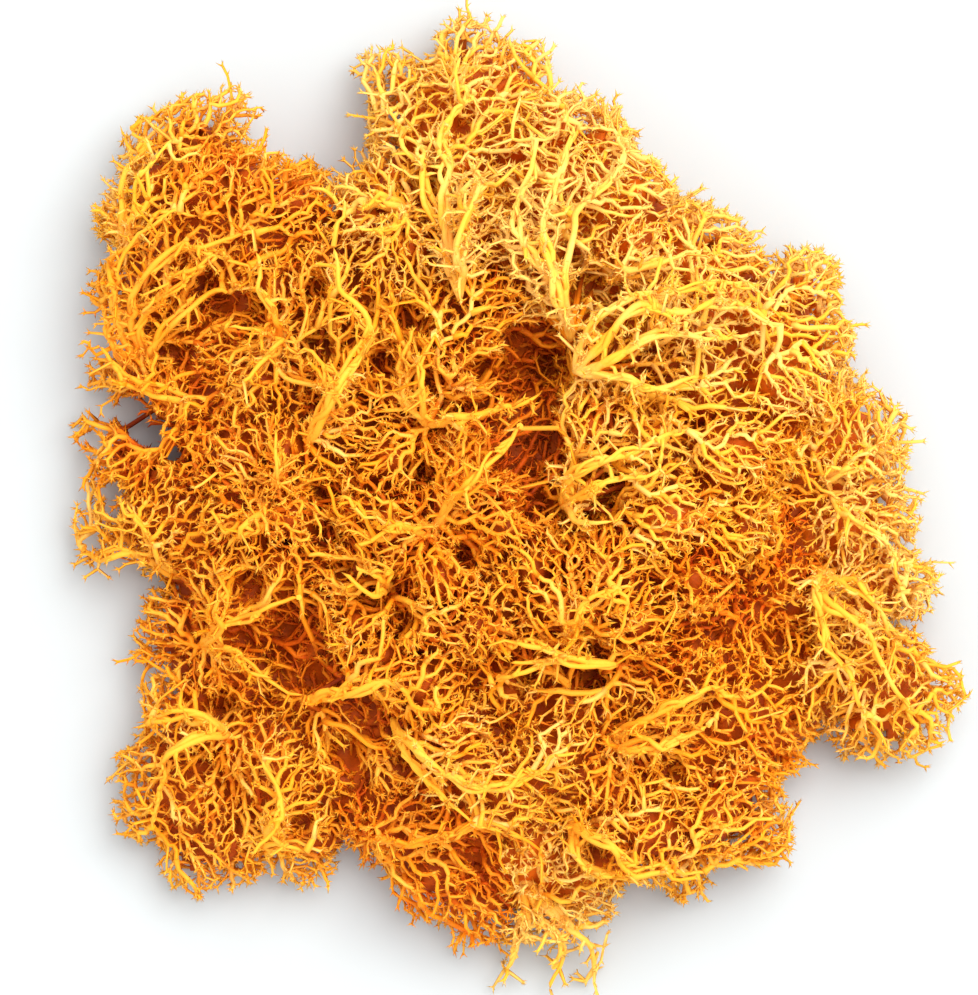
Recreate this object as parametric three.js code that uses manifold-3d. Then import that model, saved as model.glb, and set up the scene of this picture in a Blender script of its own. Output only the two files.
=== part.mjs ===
// Curly moss: a loose handful of dyed, preserved reindeer lichen, lying as it was put down.
// Millimetres, +Z up. The origin is the flat spot under its middle that the clump rests on.
// The clump is a tangle of thirty bushy tufts, and each tuft is one solid. It has a matted body with
// a crumbly crown, bare stems that run over it, and twigs that end in stars all round it.

import * as THREE from "three";
import { mergeVertices } from "three/addons/utils/BufferGeometryUtils.js";
import Module from "manifold-3d";

const wasm = await Module();
wasm.setup();

// Driving dimensions
const clearance = 0.34; // between two tufts where they lie against each other
const shortest = 0.02; // an edge shorter than this is drawn together
const floorGap = 0.3; // under every tuft but the one that carries the clump
const carrier = "heart"; // that tuft, whose flat foot is the spot that the clump rests on
const stem = { root: 1, tip: 0.55, sides: 4, step: 8 }; // radii, and the length of a straight piece
const limb = { root: 0.9, tip: 0.7, sides: 3 };
const mat = {
  extent: 80, // how far the net reaches from the origin
  mesh: 3.5, // side of the triangles that a crown is made of
  smallest: 2, // the least area of one of them in plan
  nudge: 0.16, // how far their corners stray, as a share of the side
  sharpest: 0.2, // bounds the inset at a sharp corner
  skirt: 0.6, // how far the mat reaches past its heads
  peak: 0.8, // how far every third corner stands up
  dip: 1, // and how far the others may sink
  sink: 0.9, // the crown's depth under the tips of the twigs
  tuck: 0.45, // how far a free rim is rounded up from below, as a share of the head's radius
  trench: 1.9, // the width and depth kept clear under a free stem
  least: 1.6, // the least thickness
  scrap: 15, // a smaller loose part needs no limb, in cubic millimetres
};
const star = {
  low: 0.9, high: 2, // the height of the shaft
  girth: 0.6, // its radius
  spread: 2.3, rise: 1.6, // how far the prongs reach, outwards and on
  clear: 2.2, // room beside a stem
  steepest: 0.4, // the least upward share of a crown's slope that still carries stars
  share: 0.82, // of the places on a crown that have room
  sunk: 2, spacing: 9.5, // the depth and the spacing of the twigs round the sides
};
const goldenAngle = Math.PI * (3 - Math.sqrt(5)); // spreads points evenly round an axis

// The tufts, each with where it springs from, how pale it is (0 dark, 1 pale), its heads as
// [x, y, height of the crown, radius, height of the underside], and its bare stems as points
// [x, y, z] from the root outwards. They are laid out as the clump lies, seen from above.
const tufts = {
  hook: {
    root: [-45.5, 29, 8], tone: 0.45,
    lobes: [
      [-32.5, 48, 13, 3.4, 5], [-37.5, 46.5, 14, 4.2, 3], [-43.5, 45, 10, 2.6, 4],
      [-42, 39.5, 16, 4.6, 1], [-45.5, 34.5, 14, 4, 2],
    ],
    stems: [
      [[-44.5, 35, 15], [-41.8, 41, 17], [-39.5, 45, 15.5]],
      [[-46, 34, 13], [-44.2, 41, 14], [-43.6, 46.5, 9]],
    ],
  },
  arch: {
    root: [-43, 16, 9], tone: 0.4,
    lobes: [
      [-36, 38, 20, 5.4, 2], [-30, 38.5, 21, 5.4, 2], [-24, 36.5, 22, 5.2, 1], [-38, 31, 17, 6, 1],
      [-31, 31, 18, 6, 0], [-41, 24, 13, 6, 0], [-34, 24, 14, 6, 0], [-46, 26, 13, 4, 2],
    ],
    stems: [
      [[-46.5, 21, 13], [-46.5, 28, 17], [-42, 33.5, 19], [-35.5, 35.5, 20.5]],
      [[-44.8, 23, 15], [-41, 29.5, 19], [-35, 32, 20.5], [-28.5, 33, 21]],
      [[-43, 22, 15], [-39, 26.5, 18.5], [-33, 29.3, 20.5], [-28, 29, 21]],
      [[-41, 20, 14], [-37.5, 23.5, 17], [-32, 25.8, 18.5]],
      [[-46.5, 18, 12], [-48.6, 24.5, 12]],
    ],
  },
  lattice: {
    root: [-36, 11, 12], tone: 0.35,
    lobes: [
      [-48.5, 8, 9, 3.6, 1], [-47, 14.5, 11, 3.4, 2], [-45, 3.5, 14, 5, 0], [-38.5, 5, 18, 6, 0],
      [-40, 15, 16, 5, 1],
    ],
    stems: [
      [[-42, 13.6, 15], [-46, 16.8, 15], [-49.2, 18.6, 13]],
      [[-40, 13, 16], [-44, 15, 15], [-47, 14, 12]],
    ],
  },
  west: {
    root: [-38.5, -10, 9], tone: 0.55,
    lobes: [
      [-48.5, -2.5, 10, 4, 2], [-43.5, -2, 14, 5, 0], [-38, -3, 17, 5.5, 0], [-50, -6.5, 7, 2.4, 2],
    ],
    stems: [
      [[-41.6, -7, 13], [-42.6, -3, 15], [-45.5, 0.5, 14]],
      [[-43, -8.3, 10], [-47, -7.2, 9], [-51, -6.6, 6]],
    ],
  },
  fork: {
    root: [-36, -18.5, 11], tone: 0.5,
    lobes: [
      [-23.5, -15.5, 10, 5, 0], [-39.5, -15.5, 12, 4.4, 1], [-42.5, -19, 8, 2.5, 3],
      [-32, -10, 20, 5.5, 0], [-33, -22, 14, 5, 0], [-26, -9, 22, 5.5, 3],
    ],
    stems: [
      [[-34, -16.6, 18], [-32.6, -12, 21], [-33.5, -9, 22]],
      [[-32.5, -15.6, 18.5], [-28.5, -14.3, 21], [-24, -13.3, 22.5]],
      [[-32, -19.6, 17], [-27.5, -21.8, 18], [-24, -24.6, 18.5]],
    ],
  },
  southwest: {
    root: [-32.5, -29.6, 13], tone: 0.45,
    lobes: [
      [-34, -36, 9, 4.5, 1], [-33, -30, 12, 4, 1], [-39, -26, 13, 4.8, 1], [-42, -34, 12, 4.6, 0],
      [-44, -40, 9, 3.6, 1], [-37.5, -38, 12, 5.4, 0], [-37, -46, 9, 4.2, 0.5], [-32, -44, 11, 4.8, 1],
    ],
    stems: [
      [[-36, -30.2, 17], [-40, -32.2, 15.5], [-41.4, -37, 13], [-42.2, -42, 9]],
      [[-36, -27.6, 16], [-40, -27, 15], [-43.5, -28, 11]],
    ],
  },
  curls: {
    root: [-28, -44, 7], tone: 0.6,
    lobes: [
      [-27, -33, 16, 5.5, 1], [-25, -40, 14, 5.2, 0], [-23, -45.5, 9, 3.8, 1],
    ],
    stems: [
      [[-27.4, -41, 15], [-25.6, -37.6, 17], [-26.5, -33, 18.5]],
      [[-26.6, -44.4, 12.5], [-24.4, -44.6, 12]],
    ],
  },
  bridge: {
    root: [-23, -25.3, 17], tone: 0.6,
    lobes: [
      [-23, -23.5, 11, 4.4, 0], [-13.5, -19.5, 25, 5, 6], [-8, -23, 25, 5.5, 4], [-18, -31, 17, 6, 0],
      [-11, -33, 18, 5.5, 0],
    ],
    stems: [
      [[-19, -24.4, 24], [-13.5, -23.8, 26.5], [-9.5, -25.3, 26.5], [-6.5, -27.5, 25]],
    ],
  },
  antler: {
    root: [-12, -27.5, 18], tone: 0.75,
    lobes: [
      [10, -37.5, 14, 3.6, 0], [-4.5, -29, 22, 5.2, 0], [2, -37, 22, 5.5, 0], [8, -31.5, 22, 5, 4],
    ],
    stems: [
      [[-9, -31, 23.5], [-4, -35, 24.5], [2, -35.4, 25], [7, -33, 25], [11.5, -31.2, 24.5]],
      [[-9.4, -32.5, 21.5], [-5, -38, 21.5], [-1, -40.4, 21]],
    ],
  },
  south: {
    root: [-16, -42, 9], tone: 0.3,
    lobes: [
      [-8, -39, 14, 4.2, 0], [-7, -47, 14, 6, 0], [-1, -51.5, 12, 5, 1], [-13, -41, 15, 5.2, 0],
      [-3, -44, 15, 5.5, 0],
    ],
    stems: [
      [[-11, -43, 17.5], [-5, -42.4, 19], [0, -41.6, 19.5], [4.5, -43.4, 18.5], [6.5, -46, 17]],
    ],
  },
  fringe: {
    root: [4, -48, 9], tone: 0.55,
    lobes: [
      [6, -52, 11, 4.6, 1], [11.5, -50, 12, 4.6, 0.5], [5, -45, 16, 5, 0],
    ],
    stems: [
      [[4.2, -54, 8], [3.6, -57, 6.5], [3.1, -60, 3]],
      [[7.5, -55, 8], [8.6, -58.5, 5], [8.3, -61, 2.6]],
      [[10.5, -54.5, 8], [12.6, -57.5, 5], [13.2, -61, 2.6]],
    ],
  },
  southeast: {
    root: [9.5, -40, 14], tone: 0.5,
    lobes: [
      [18.5, -36.5, 14, 4, 0], [33.5, -41.5, 16, 5, 1.5], [28, -40, 19, 6, 0], [20.5, -42, 19, 6, 0],
      [32, -35.5, 17, 4.4, 2], [13.5, -44.5, 16, 5, 0], [24.5, -48, 9, 3, 2],
    ],
    stems: [
      [[13.2, -42.6, 20.5], [17, -45.2, 20], [23, -46.6, 17], [28, -46.5, 14]],
      [[12, -45.6, 18.5], [16.4, -47, 18], [20, -46.4, 18.5]],
    ],
  },
  ember: {
    root: [14, -30.5, 14], tone: 0.35,
    lobes: [
      [11.5, -31, 16, 3.6, 1], [36, -26.5, 16, 4.8, 2], [29.5, -27, 19, 5.5, 1],
      [22.5, -28.5, 20, 5.5, 0], [37, -31.5, 12, 3.2, 3], [15.5, -35.5, 20, 5.5, 0],
      [24, -34, 18, 5, 1],
    ],
    stems: [
      [[18.5, -31, 21.5], [23.5, -30, 22.5], [28, -27.4, 21.5]],
      [[20, -27, 22], [25.6, -24, 22.5], [32, -22.8, 20.5]],
    ],
  },
  sheaf: {
    root: [15.6, -20.6, 26], tone: 0.65,
    lobes: [
      [3, -22.5, 22, 5, 2], [10.5, -25, 22, 5.5, 1], [17, -22, 20, 4.6, 4],
    ],
    stems: [
      [[10.5, -19.8, 27.6], [4.5, -18.4, 27.2], [-0.5, -20, 25]],
      [[10, -20.6, 26], [4.5, -20.8, 25.4], [0.5, -22.4, 24]],
    ],
  },
  lobe: {
    root: [40.5, -8.5, 12], tone: 0.6,
    lobes: [
      [40, -25, 9, 3.4, 0], [48, -10, 12, 3, 1], [51, -27.5, 15, 5.8, 2], [56, -24.5, 13, 3.6, 4],
      [46.5, -28.5, 13, 4.4, 2], [45, -21.5, 16, 5, 1], [44, -14, 17, 5.2, 0], [52, -20.5, 14, 3.8, 3],
    ],
    stems: [
      [[42.6, -13, 18.8], [46.4, -16.8, 19.5], [48.6, -21.5, 18.5], [51.6, -26.6, 17]],
      [[41.2, -12, 18.5], [41.6, -17, 18.5], [44.4, -21.5, 18], [46, -26, 16]],
      [[44, -10.5, 18], [47.8, -14, 18.5], [51, -19, 16.5]],
    ],
  },
  east: {
    root: [41, 1.5, 12], tone: 0.55,
    lobes: [
      [41, 7, 13, 3.6, 0], [47, 4.5, 17, 5.2, 1], [49.5, -2.5, 15, 4.4, 2], [52, -11, 15, 4.2, 2],
      [44, -4, 18, 5, 0], [49.5, 9.5, 10, 3, 3], [44, 11, 16, 4.6, 1],
    ],
    stems: [
      [[44.5, 3.4, 18.5], [48.8, 6.2, 15], [52, 9.3, 11]],
      [[45, -2.6, 19.3], [49, -7, 17.5], [52.5, -11.4, 15.5]],
    ],
  },
  fan: {
    root: [10.5, 15.5, 27], tone: 0.65,
    lobes: [
      [20, 15.5, 20, 4, 1], [39.5, 26.5, 19, 4.8, 2], [41.5, 19.5, 19, 4.2, 1], [36, 14.5, 25, 6.2, 0],
      [33, 22, 22, 5.5, 0], [25.5, 21, 24, 6, 0], [27, 13, 25, 5.5, 1], [40, 12.5, 21, 4.2, 1],
    ],
    stems: [
      [[11.6, 19.5, 30], [15, 23.4, 31.5], [21, 24.6, 31], [29, 25.4, 28], [36.5, 25, 23.5]],
      [[14.6, 19.7, 31], [18, 22.6, 32.5], [24, 22.4, 31.5], [31, 23, 28], [37, 21.5, 24.5]],
      [[15.6, 17.2, 31], [19, 20, 32], [26, 20.2, 31], [33, 20, 27]],
      [[14.6, 14.8, 30], [20, 13.7, 31], [26, 13, 30]],
    ],
  },
  spire: {
    root: [10, 19.5, 25], tone: 0.7,
    lobes: [
      [10, 25.5, 14, 4.4, 0], [0.5, 30, 20, 3, 1], [13.5, 44.5, 19, 4.8, 2], [18.5, 38, 20, 4.8, 1],
      [13.5, 37.5, 23, 5, 0], [8.5, 46, 22, 5, 3], [7, 39, 26, 5.5, 2], [8, 31, 27, 5, 0],
      [5, 54.5, 12, 3, 3],
    ],
    stems: [
      [
        [8.6, 24.5, 30.5], [7.2, 29.5, 32], [6.9, 34, 31.5], [8.4, 38.5, 30], [9.8, 43.5, 26],
        [10, 49, 20],
      ],
      [[8, 26, 29], [3.8, 31.5, 31.5], [4.5, 37, 31], [5, 43, 27.5], [3, 49, 22]],
      [[9.4, 26.5, 29.5], [11, 33, 28.5], [15, 40, 24.5], [17, 45, 17]],
    ],
  },
  ridge: {
    root: [15, 27, 20], tone: 0.5,
    lobes: [
      [24, 33, 20, 4.6, 1], [28.5, 32.5, 16, 3.8, 2], [18, 31, 24, 5, 1], [31.5, 28.5, 17, 3.6, 2],
      [25, 27.5, 22, 4.6, 0],
    ],
    stems: [
      [[18, 28.6, 26], [22, 29, 26], [28, 30.5, 21]],
    ],
  },
  crest: {
    root: [-3.6, 24.5, 26], tone: 0.6,
    lobes: [
      [-3, 57, 12, 4, 2], [1.5, 52, 16, 4.8, 1], [-4, 49.5, 19, 5.4, 0], [-12, 52, 13, 4, 2],
      [-10.5, 45.5, 18, 4.8, 0], [-4, 41.5, 23, 5.4, 0], [2, 44.5, 22, 5, 0], [-3, 33, 27, 5.5, 1],
      [-14.5, 54.5, 9, 2.2, 3],
    ],
    stems: [
      [[-3.4, 29.5, 31.5], [-2.8, 35.5, 31.5], [-1.4, 41.6, 29]],
      [[-2.6, 36.6, 31], [0.8, 38.4, 30], [2.9, 40.4, 27.6]],
      [[-5.2, 36, 27], [-5.8, 44, 23], [-2.4, 49.5, 21.5], [-6.5, 54, 15]],
      [[-7.5, 38, 25], [-10, 44.6, 21], [-13.6, 50.6, 15]],
    ],
  },
  collar: {
    root: [-10, 35.5, 22], tone: 0.6,
    lobes: [
      [-12, 28, 20, 3.4, 1], [-12, 39.5, 21, 4.4, 2], [-15.5, 34, 24, 5, 1], [-9.5, 31, 27, 5, 2],
      [-18.5, 36.5, 21, 3.6, 4],
    ],
    stems: [
      [[-13.4, 36.4, 26], [-16, 37.8, 24]],
      [[-12.6, 32.5, 28], [-17.2, 33.6, 27]],
    ],
  },
  crook: {
    root: [-22.5, 6, 22], tone: 0.8,
    lobes: [
      [-16.5, 23, 20, 4, 1], [-17.5, 9.5, 27, 5.2, 1], [-21.5, 18.5, 22, 5.2, 0], [-20, 27, 24, 5.2, 0],
    ],
    stems: [
      [
        [-20.4, 11, 28.5], [-17.8, 14.8, 30.5], [-15.4, 18.6, 31.5], [-15.4, 22.4, 31.5],
        [-17.4, 26.2, 31], [-19.6, 30.6, 29],
      ],
      [[-19.6, 14.6, 29.5], [-22.4, 16.8, 28.5], [-24.4, 16, 27]],
    ],
  },
  stag: {
    root: [-26, 19.6, 18], tone: 0.65,
    lobes: [
      [-22, 13, 18, 3.6, 1], [-28.5, 14.5, 24, 5, 0], [-32, 17, 19, 5, 0], [-26.5, 26, 22, 5, 1],
      [-36, 11, 17, 4, 2],
    ],
    stems: [
      [[-26.4, 22.6, 26], [-27.6, 27.4, 27], [-28.5, 30, 26.5]],
      [[-27, 17.6, 26.5], [-29.5, 14, 27]],
      [[-28.6, 20.6, 25], [-32.5, 20.6, 22.5]],
    ],
  },
  meadow: {
    root: [-27, 0, 14], tone: 0.5,
    lobes: [
      [-31.5, 5, 23, 5.5, 0], [-25, 6, 25, 5.2, 1], [-31, -3.5, 23, 5, 0], [-24.5, -2.5, 26, 5.4, 1],
    ],
    stems: [
      [[-25.8, 3, 28], [-27, 8.5, 27.6]],
      [[-28.5, -2.8, 26], [-33, -6.5, 22]],
    ],
  },
  brace: {
    root: [-7.5, 9, 26], tone: 0.75,
    lobes: [
      [3.5, 18, 13, 5.5, 0], [-5.5, 27.5, 20, 3, 1], [-11.5, 13.5, 28, 5.4, 0], [-9, 22, 28, 5.2, 0],
      [-3, 17, 28, 5, 0], [-12, 5, 28, 5.4, 1], [0, 25, 28, 4.6, 1],
    ],
    stems: [
      [[-4, 9.6, 32], [1, 10.8, 33], [6.2, 12.6, 31.5]],
      [[-8.6, 12, 31.5], [-8.6, 16.6, 31.5], [-6, 20, 30.5]],
    ],
  },
  heart: {
    root: [-7, -4.5, 22], tone: 0.55,
    lobes: [
      [5.5, 6.5, 14, 5, 0], [-3.5, 3, 30, 5.6, 0], [-12, -3.5, 28, 5.5, 0], [-17.5, -0.5, 27, 4.6, 2],
      [-6, -9.5, 29, 5.6, 0], [2, -3, 30, 5.2, 0],
    ],
    stems: [
      [[-10.5, -3.6, 30.5], [-15.6, -4.6, 29.5]],
      [[-3, 1.5, 33], [1.6, 5.4, 33], [4, 9, 30.5]],
    ],
  },
  nest: {
    root: [-12, -11, 18], tone: 0.5,
    lobes: [
      [-17, -9.5, 25, 5, 1], [-16, -15.5, 24, 4.8, 1], [-1.5, -15.5, 28, 5.2, 0], [-8.5, -16, 27, 5, 2],
      [-22.5, -4.5, 25, 4, 4],
    ],
    stems: [
      [[-13, -9.6, 28.5], [-16.4, -8, 28.6]],
      [[-14.6, -12, 27], [-19, -10, 27]],
    ],
  },
  sweep: {
    root: [9, -1, 24], tone: 0.75,
    lobes: [
      [9.5, 1.5, 20, 4.4, 0], [13, 14.5, 14, 4, 0], [38.5, 2.5, 12, 3.4, 0], [29, 5.5, 28, 6.4, 0],
      [22, -2.5, 30, 6.4, 0], [32, -3.5, 25, 5.2, 0], [19.5, 8, 29, 5.2, 1], [13, 8.5, 28, 5, 1],
      [34.5, 7, 25, 5, 1],
    ],
    stems: [
      [[10.6, 3.4, 31.5], [15.6, 4.8, 33], [20.6, 6.4, 32.5], [25, 9, 31]],
      [[12.4, 1.4, 32], [17.4, 1.6, 33], [21.5, 4.4, 32.5]],
      [[11.5, -2.4, 31], [15, -3.8, 32]],
    ],
  },
  loop: {
    root: [9.5, -18, 20], tone: 0.65,
    lobes: [
      [8.5, -13.5, 28, 5.2, 0], [14, -8.5, 30, 5.4, 0], [5.5, -8.5, 29, 5, 1], [18, -15, 27, 5.2, 0],
    ],
    stems: [
      [[10.6, -15, 30], [13, -11.9, 31.5], [15.4, -13.4, 31], [16, -17, 28.5]],
    ],
  },
  glow: {
    root: [33, -11, 10], tone: 0.12,
    lobes: [
      [25.5, -10, 26, 5.4, 0], [30, -15.5, 18, 4.8, 0], [36.5, -9.5, 19, 4.6, 0],
      [36.5, -17, 14, 3.6, 1], [37, -3, 17, 4, 1], [25, -19.5, 20, 4.6, 1], [31.5, -21.5, 17, 3.6, 3],
    ],
    stems: [],
  },
};

// Deep pockets among the tufts that stay open, as [x, y, z, radius]
const hollows = [
  [3.5, 17.5, 24, 5], [6, 6, 27, 3.4], [4, 0.5, 30, 1.8], [11, 27.5, 24, 3.2], [-9, 23.5, 27, 1.5],
  [-43.2, 8.8, 4, 2.6], [-43.2, 8.8, 9, 2.6], [-43.2, 8.8, 14, 2.6], [-22, -21.5, 18, 3.6],
  [-24, -16.5, 19, 3.4], [20, 12, 30, 2.2], [-34, 27, 21, 2],
];

// Places where the light falls right through, as [x, y, radius]
const holes = [[-43.2, 8.8, 2.6]];

// Colours, from a tuft that took the dye deeply to a pale one
const deepDye = new THREE.Color("#a8480a");
const paleDye = new THREE.Color("#f2c35c");
const finish = { roughness: 0.82, metalness: 0 };

const names = Object.keys(tufts);
const forEachTuft = (make) => Object.fromEntries(names.map((tuft) => [tuft, make(tuft)]));

// The heads of every tuft as records
const headsOf = forEachTuft((tuft) =>
  tufts[tuft].lobes.map(([x, y, top, radius, foot]) => {
    return { tuft, x, y, top, radius, foot: Math.max(foot, floorGap) };
  }),
);
const heads = Object.values(headsOf).flat();

const at = ([x, y, z]) => new THREE.Vector3(x, y, z);
const curveOf = (path) => new THREE.CatmullRomCurve3(path, false, "centripetal");
const off = (a, b) => Math.hypot(a.x - b.x, a.y - b.y); // the distance in plan
const least = (list, measure) => list.reduce((a, b) => (measure(a) <= measure(b) ? a : b));

// A draw between two values that is the same in every run: the fraction of a large sine.
function between(low, high, seed) {
  const wave = Math.sin(seed * 127.1 + 311.7) * 43758.5453;
  return low + (high - low) * (wave - Math.floor(wave));
}

// How near a head is to a point in plan: the distance squared less the head's radius squared. The
// head that is nearest by this measure owns the point.
const reach = (one, point) => off(one, point) ** 2 - one.radius ** 2;
const ownerAt = (point) => least(heads, (one) => reach(one, point));

// A closed geometry as a solid that can be joined and cut
function solidOf(geometry) {
  geometry.deleteAttribute("normal");
  geometry.deleteAttribute("uv");
  const closed = mergeVertices(geometry, 1e-4);
  const vertProperties = closed.attributes.position.array;
  return new wasm.Manifold(
    new wasm.Mesh({ numProp: 3, vertProperties, triVerts: new Uint32Array(closed.index.array) }),
  );
}
const faceted = (points, faces) => solidOf(new THREE.BufferGeometry().setFromPoints(points).setIndex(faces));
const meets = (a, b) => !a.intersect(b).isEmpty();
const largest = (solid) => least(solid.decompose(), (body) => -body.volume());

// A tapering branch: the rings of a cylinder carried along a smooth curve through its points
function branch({ path, steps, start, end, sides }, extra = 0) {
  const curve = curveOf(path);
  const { normals, binormals } = curve.computeFrenetFrames(steps, false);
  const shape = new THREE.CylinderGeometry(1, 1, 1, sides, steps);
  const position = shape.attributes.position;
  for (let i = 0; i < position.count; i++) {
    const along = position.getY(i) + 0.5;
    const ring = Math.round(along * steps);
    const radius = start + (end - start) * along + extra;
    const place = curve
      .getPointAt(along)
      .addScaledVector(binormals[ring], position.getX(i) * radius)
      .addScaledVector(normals[ring], position.getZ(i) * radius);
    position.setXYZ(i, ...place);
  }
  return solidOf(shape);
}

// The bare stems of each tuft, from its root through the points laid by hand
const stemsOf = forEachTuft((tuft) =>
  tufts[tuft].stems.map((points) => {
    const path = [tufts[tuft].root, ...points].map(at);
    const steps = Math.max(2, Math.round(curveOf(path).getLength() / stem.step));
    return { path, steps, start: stem.root, end: stem.tip, sides: stem.sides };
  }),
);

// Points along every stem. The mats stay below them, so that the stems run free over them, and only
// a stem's own ends are sunk in its tuft.
const stemPoints = names.flatMap((tuft) =>
  stemsOf[tuft].flatMap(({ path }) => {
    const points = curveOf(path).getSpacedPoints(path.length * 4);
    return points.map((point, i) => ({ tuft, point, share: i / (points.length - 1) }));
  }),
);
const runsFree = (tuft, one) => one.tuft !== tuft || (one.share > 0.12 && one.share < 0.82);

// The ground plan is a net of triangles, whose corners are nudged off their rows by a draw. Every
// third corner is a peak of the crown.
const rows = Math.ceil(mat.extent / mat.mesh);
const corners = new Map();
for (let i = -rows; i <= rows; i++) {
  for (let j = -rows; j <= rows; j++) {
    const seed = i * 57.1 + j * 13.7;
    const corner = new THREE.Vector2(
      (i + j / 2 + between(-mat.nudge, mat.nudge, seed)) * mat.mesh,
      (j * Math.sqrt(0.75) + between(-mat.nudge, mat.nudge, seed + 0.5)) * mat.mesh,
    );
    const lift = (i - j) % 3 === 0 ? mat.peak : between(-mat.dip, 0, seed);
    corners.set(`${i},${j}`, Object.assign(corner, { i, j, lift }));
  }
}

// Corners near the rim of a head are drawn onto it where no triangle gets too thin by that.
const cornerAt = (i, j) => corners.get(`${i},${j}`);
const hexagon = [[1, 0], [0, 1], [-1, 1], [-1, 0], [0, -1], [1, -1]];
for (const corner of corners.values()) {
  const pastRim = (one) => off(one, corner) - one.radius - mat.skirt;
  const nearest = least(heads, (one) => Math.abs(pastRim(one)));
  const beside = hexagon.map(([i, j]) => cornerAt(corner.i + i, corner.j + j));
  if (beside.includes(undefined) || Math.abs(pastRim(nearest)) > mat.mesh / 2) continue;
  const axis = new THREE.Vector2(nearest.x, nearest.y);
  const place = corner.clone().sub(axis).setLength(nearest.radius + mat.skirt).add(axis);
  const spokes = beside.map((other) => other.clone().sub(place));
  if (spokes.every((spoke, k) => spoke.cross(spokes[(k + 1) % 6]) > 2 * mat.smallest)) corner.copy(place);
}

// Each triangle goes to the tuft that owns its middle, if it lies under a head and over no hole.
const tilesOf = forEachTuft(() => []);
for (let i = -rows; i < rows; i++) {
  for (let j = -rows; j < rows; j++) {
    const [a, b, c, d] = [`${i},${j}`, `${i + 1},${j}`, `${i},${j + 1}`, `${i + 1},${j + 1}`];
    for (const tile of [[a, b, c], [b, d, c]]) {
      const middle = new THREE.Vector2();
      for (const key of tile) middle.addScaledVector(corners.get(key), 1 / 3);
      const owner = ownerAt(middle);
      const isThrough = holes.some(([x, y, radius]) => off({ x, y }, middle) < radius);
      if (off(owner, middle) < owner.radius + mat.skirt && !isThrough) tilesOf[owner.tuft].push(tile);
    }
  }
}

// The crown of a tuft over a point in plan: the highest of its round heads there, drawn down into
// the hollows and under the stems that run free over it
function crownAt(tuft, point) {
  const domes = headsOf[tuft].map((one) => {
    const aside = off(one, point);
    const dome = Math.sqrt(Math.max(one.radius ** 2 - aside ** 2, 0));
    return one.top - one.radius + dome - 2 * Math.max(aside - one.radius, 0);
  });
  const underStems = stemPoints
    .filter((one) => off(one.point, point) < mat.trench && runsFree(tuft, one))
    .map((one) => one.point.z - stem.root - mat.trench / 2);
  const underHollows = hollows
    .filter(([x, y, , radius]) => off({ x, y }, point) < radius)
    .map(([x, y, z, radius]) => z - Math.sqrt(radius ** 2 - off({ x, y }, point) ** 2));
  return Math.min(Math.max(...domes) - mat.sink, ...underStems, ...underHollows);
}

// The underside of a tuft: flat under its heads, and rounded up towards a rim with nothing beside it
function footAt(tuft, point, isRim) {
  if (tuft === carrier) return 0;
  const one = least(headsOf[tuft], (head) => reach(head, point));
  const isFree = heads.every((other) => other.tuft === tuft || reach(other, point) > 0);
  return isRim && isFree ? one.foot + one.radius * mat.tuck : one.foot;
}

// The matted body of a tuft: its triangles carried up to the crown and down to the foot, with a wall
// along every edge that only one of them has. The walls stand in from those edges by half the
// clearance. A corner where the tuft only touches itself becomes two points.
function matOf(tuft) {
  const tiles = tilesOf[tuft];
  const keys = tiles.flat();
  const after = (corner) => (corner % 3 === 2 ? corner - 2 : corner + 1);
  const edges = new Map(keys.map((key, corner) => [`${key}>${keys[after(corner)]}`, corner]));
  const besideOf = (corner) => edges.get(`${keys[after(corner)]}>${keys[corner]}`);

  // Corners of two triangles with a common edge become one.
  const shared = keys.map((_, corner) => corner);
  const rootOf = (corner) => (shared[corner] === corner ? corner : rootOf(shared[corner]));
  const walls = [];
  keys.forEach((_, corner) => {
    const beside = besideOf(corner);
    if (beside === undefined) {
      walls.push([corner, after(corner)]);
    } else {
      shared[rootOf(corner)] = rootOf(after(beside));
      shared[rootOf(after(corner))] = rootOf(beside);
    }
  });

  // The two ways inwards at each corner of the rim, square to its walls
  const inwards = new Map();
  for (const [from, to] of walls) {
    const along = corners.get(keys[to]).clone().sub(corners.get(keys[from])).normalize();
    for (const root of [from, to].map(rootOf)) {
      inwards.set(root, [...(inwards.get(root) ?? []), new THREE.Vector2(-along.y, along.x)]);
    }
  }

  const points = [];
  const pointOf = new Map();
  for (const root of new Set(keys.map((_, corner) => rootOf(corner)))) {
    const place = corners.get(keys[root]).clone();
    const isRim = inwards.has(root);
    if (isRim) {
      const [one, other] = inwards.get(root);
      const inset = clearance / 2 / Math.max(1 + one.dot(other), mat.sharpest);
      place.addScaledVector(one, inset).addScaledVector(other, inset);
    }
    const foot = footAt(tuft, place, isRim);
    const crown = Math.max(crownAt(tuft, place) + corners.get(keys[root]).lift, foot + mat.least);
    pointOf.set(root, points.length);
    points.push(new THREE.Vector3(place.x, place.y, crown), new THREE.Vector3(place.x, place.y, foot));
  }
  const above = (corner) => pointOf.get(rootOf(corner));
  const below = (corner) => above(corner) + 1;
  const tops = tiles.map((_, t) => [3 * t, 3 * t + 1, 3 * t + 2].map(above));
  const sides = walls.flatMap(([a, b]) => [below(a), below(b), above(b), below(a), above(b), above(a)]);
  return { points, tops, faces: [...tops.flatMap(([a, b, c]) => [c + 1, b + 1, a + 1]), ...sides] };
}

const plans = forEachTuft(matOf);
const plainMats = forEachTuft((tuft) => {
  const { points, tops, faces } = plans[tuft];
  return faceted(points, [...tops.flat(), ...faces]);
});

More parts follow.
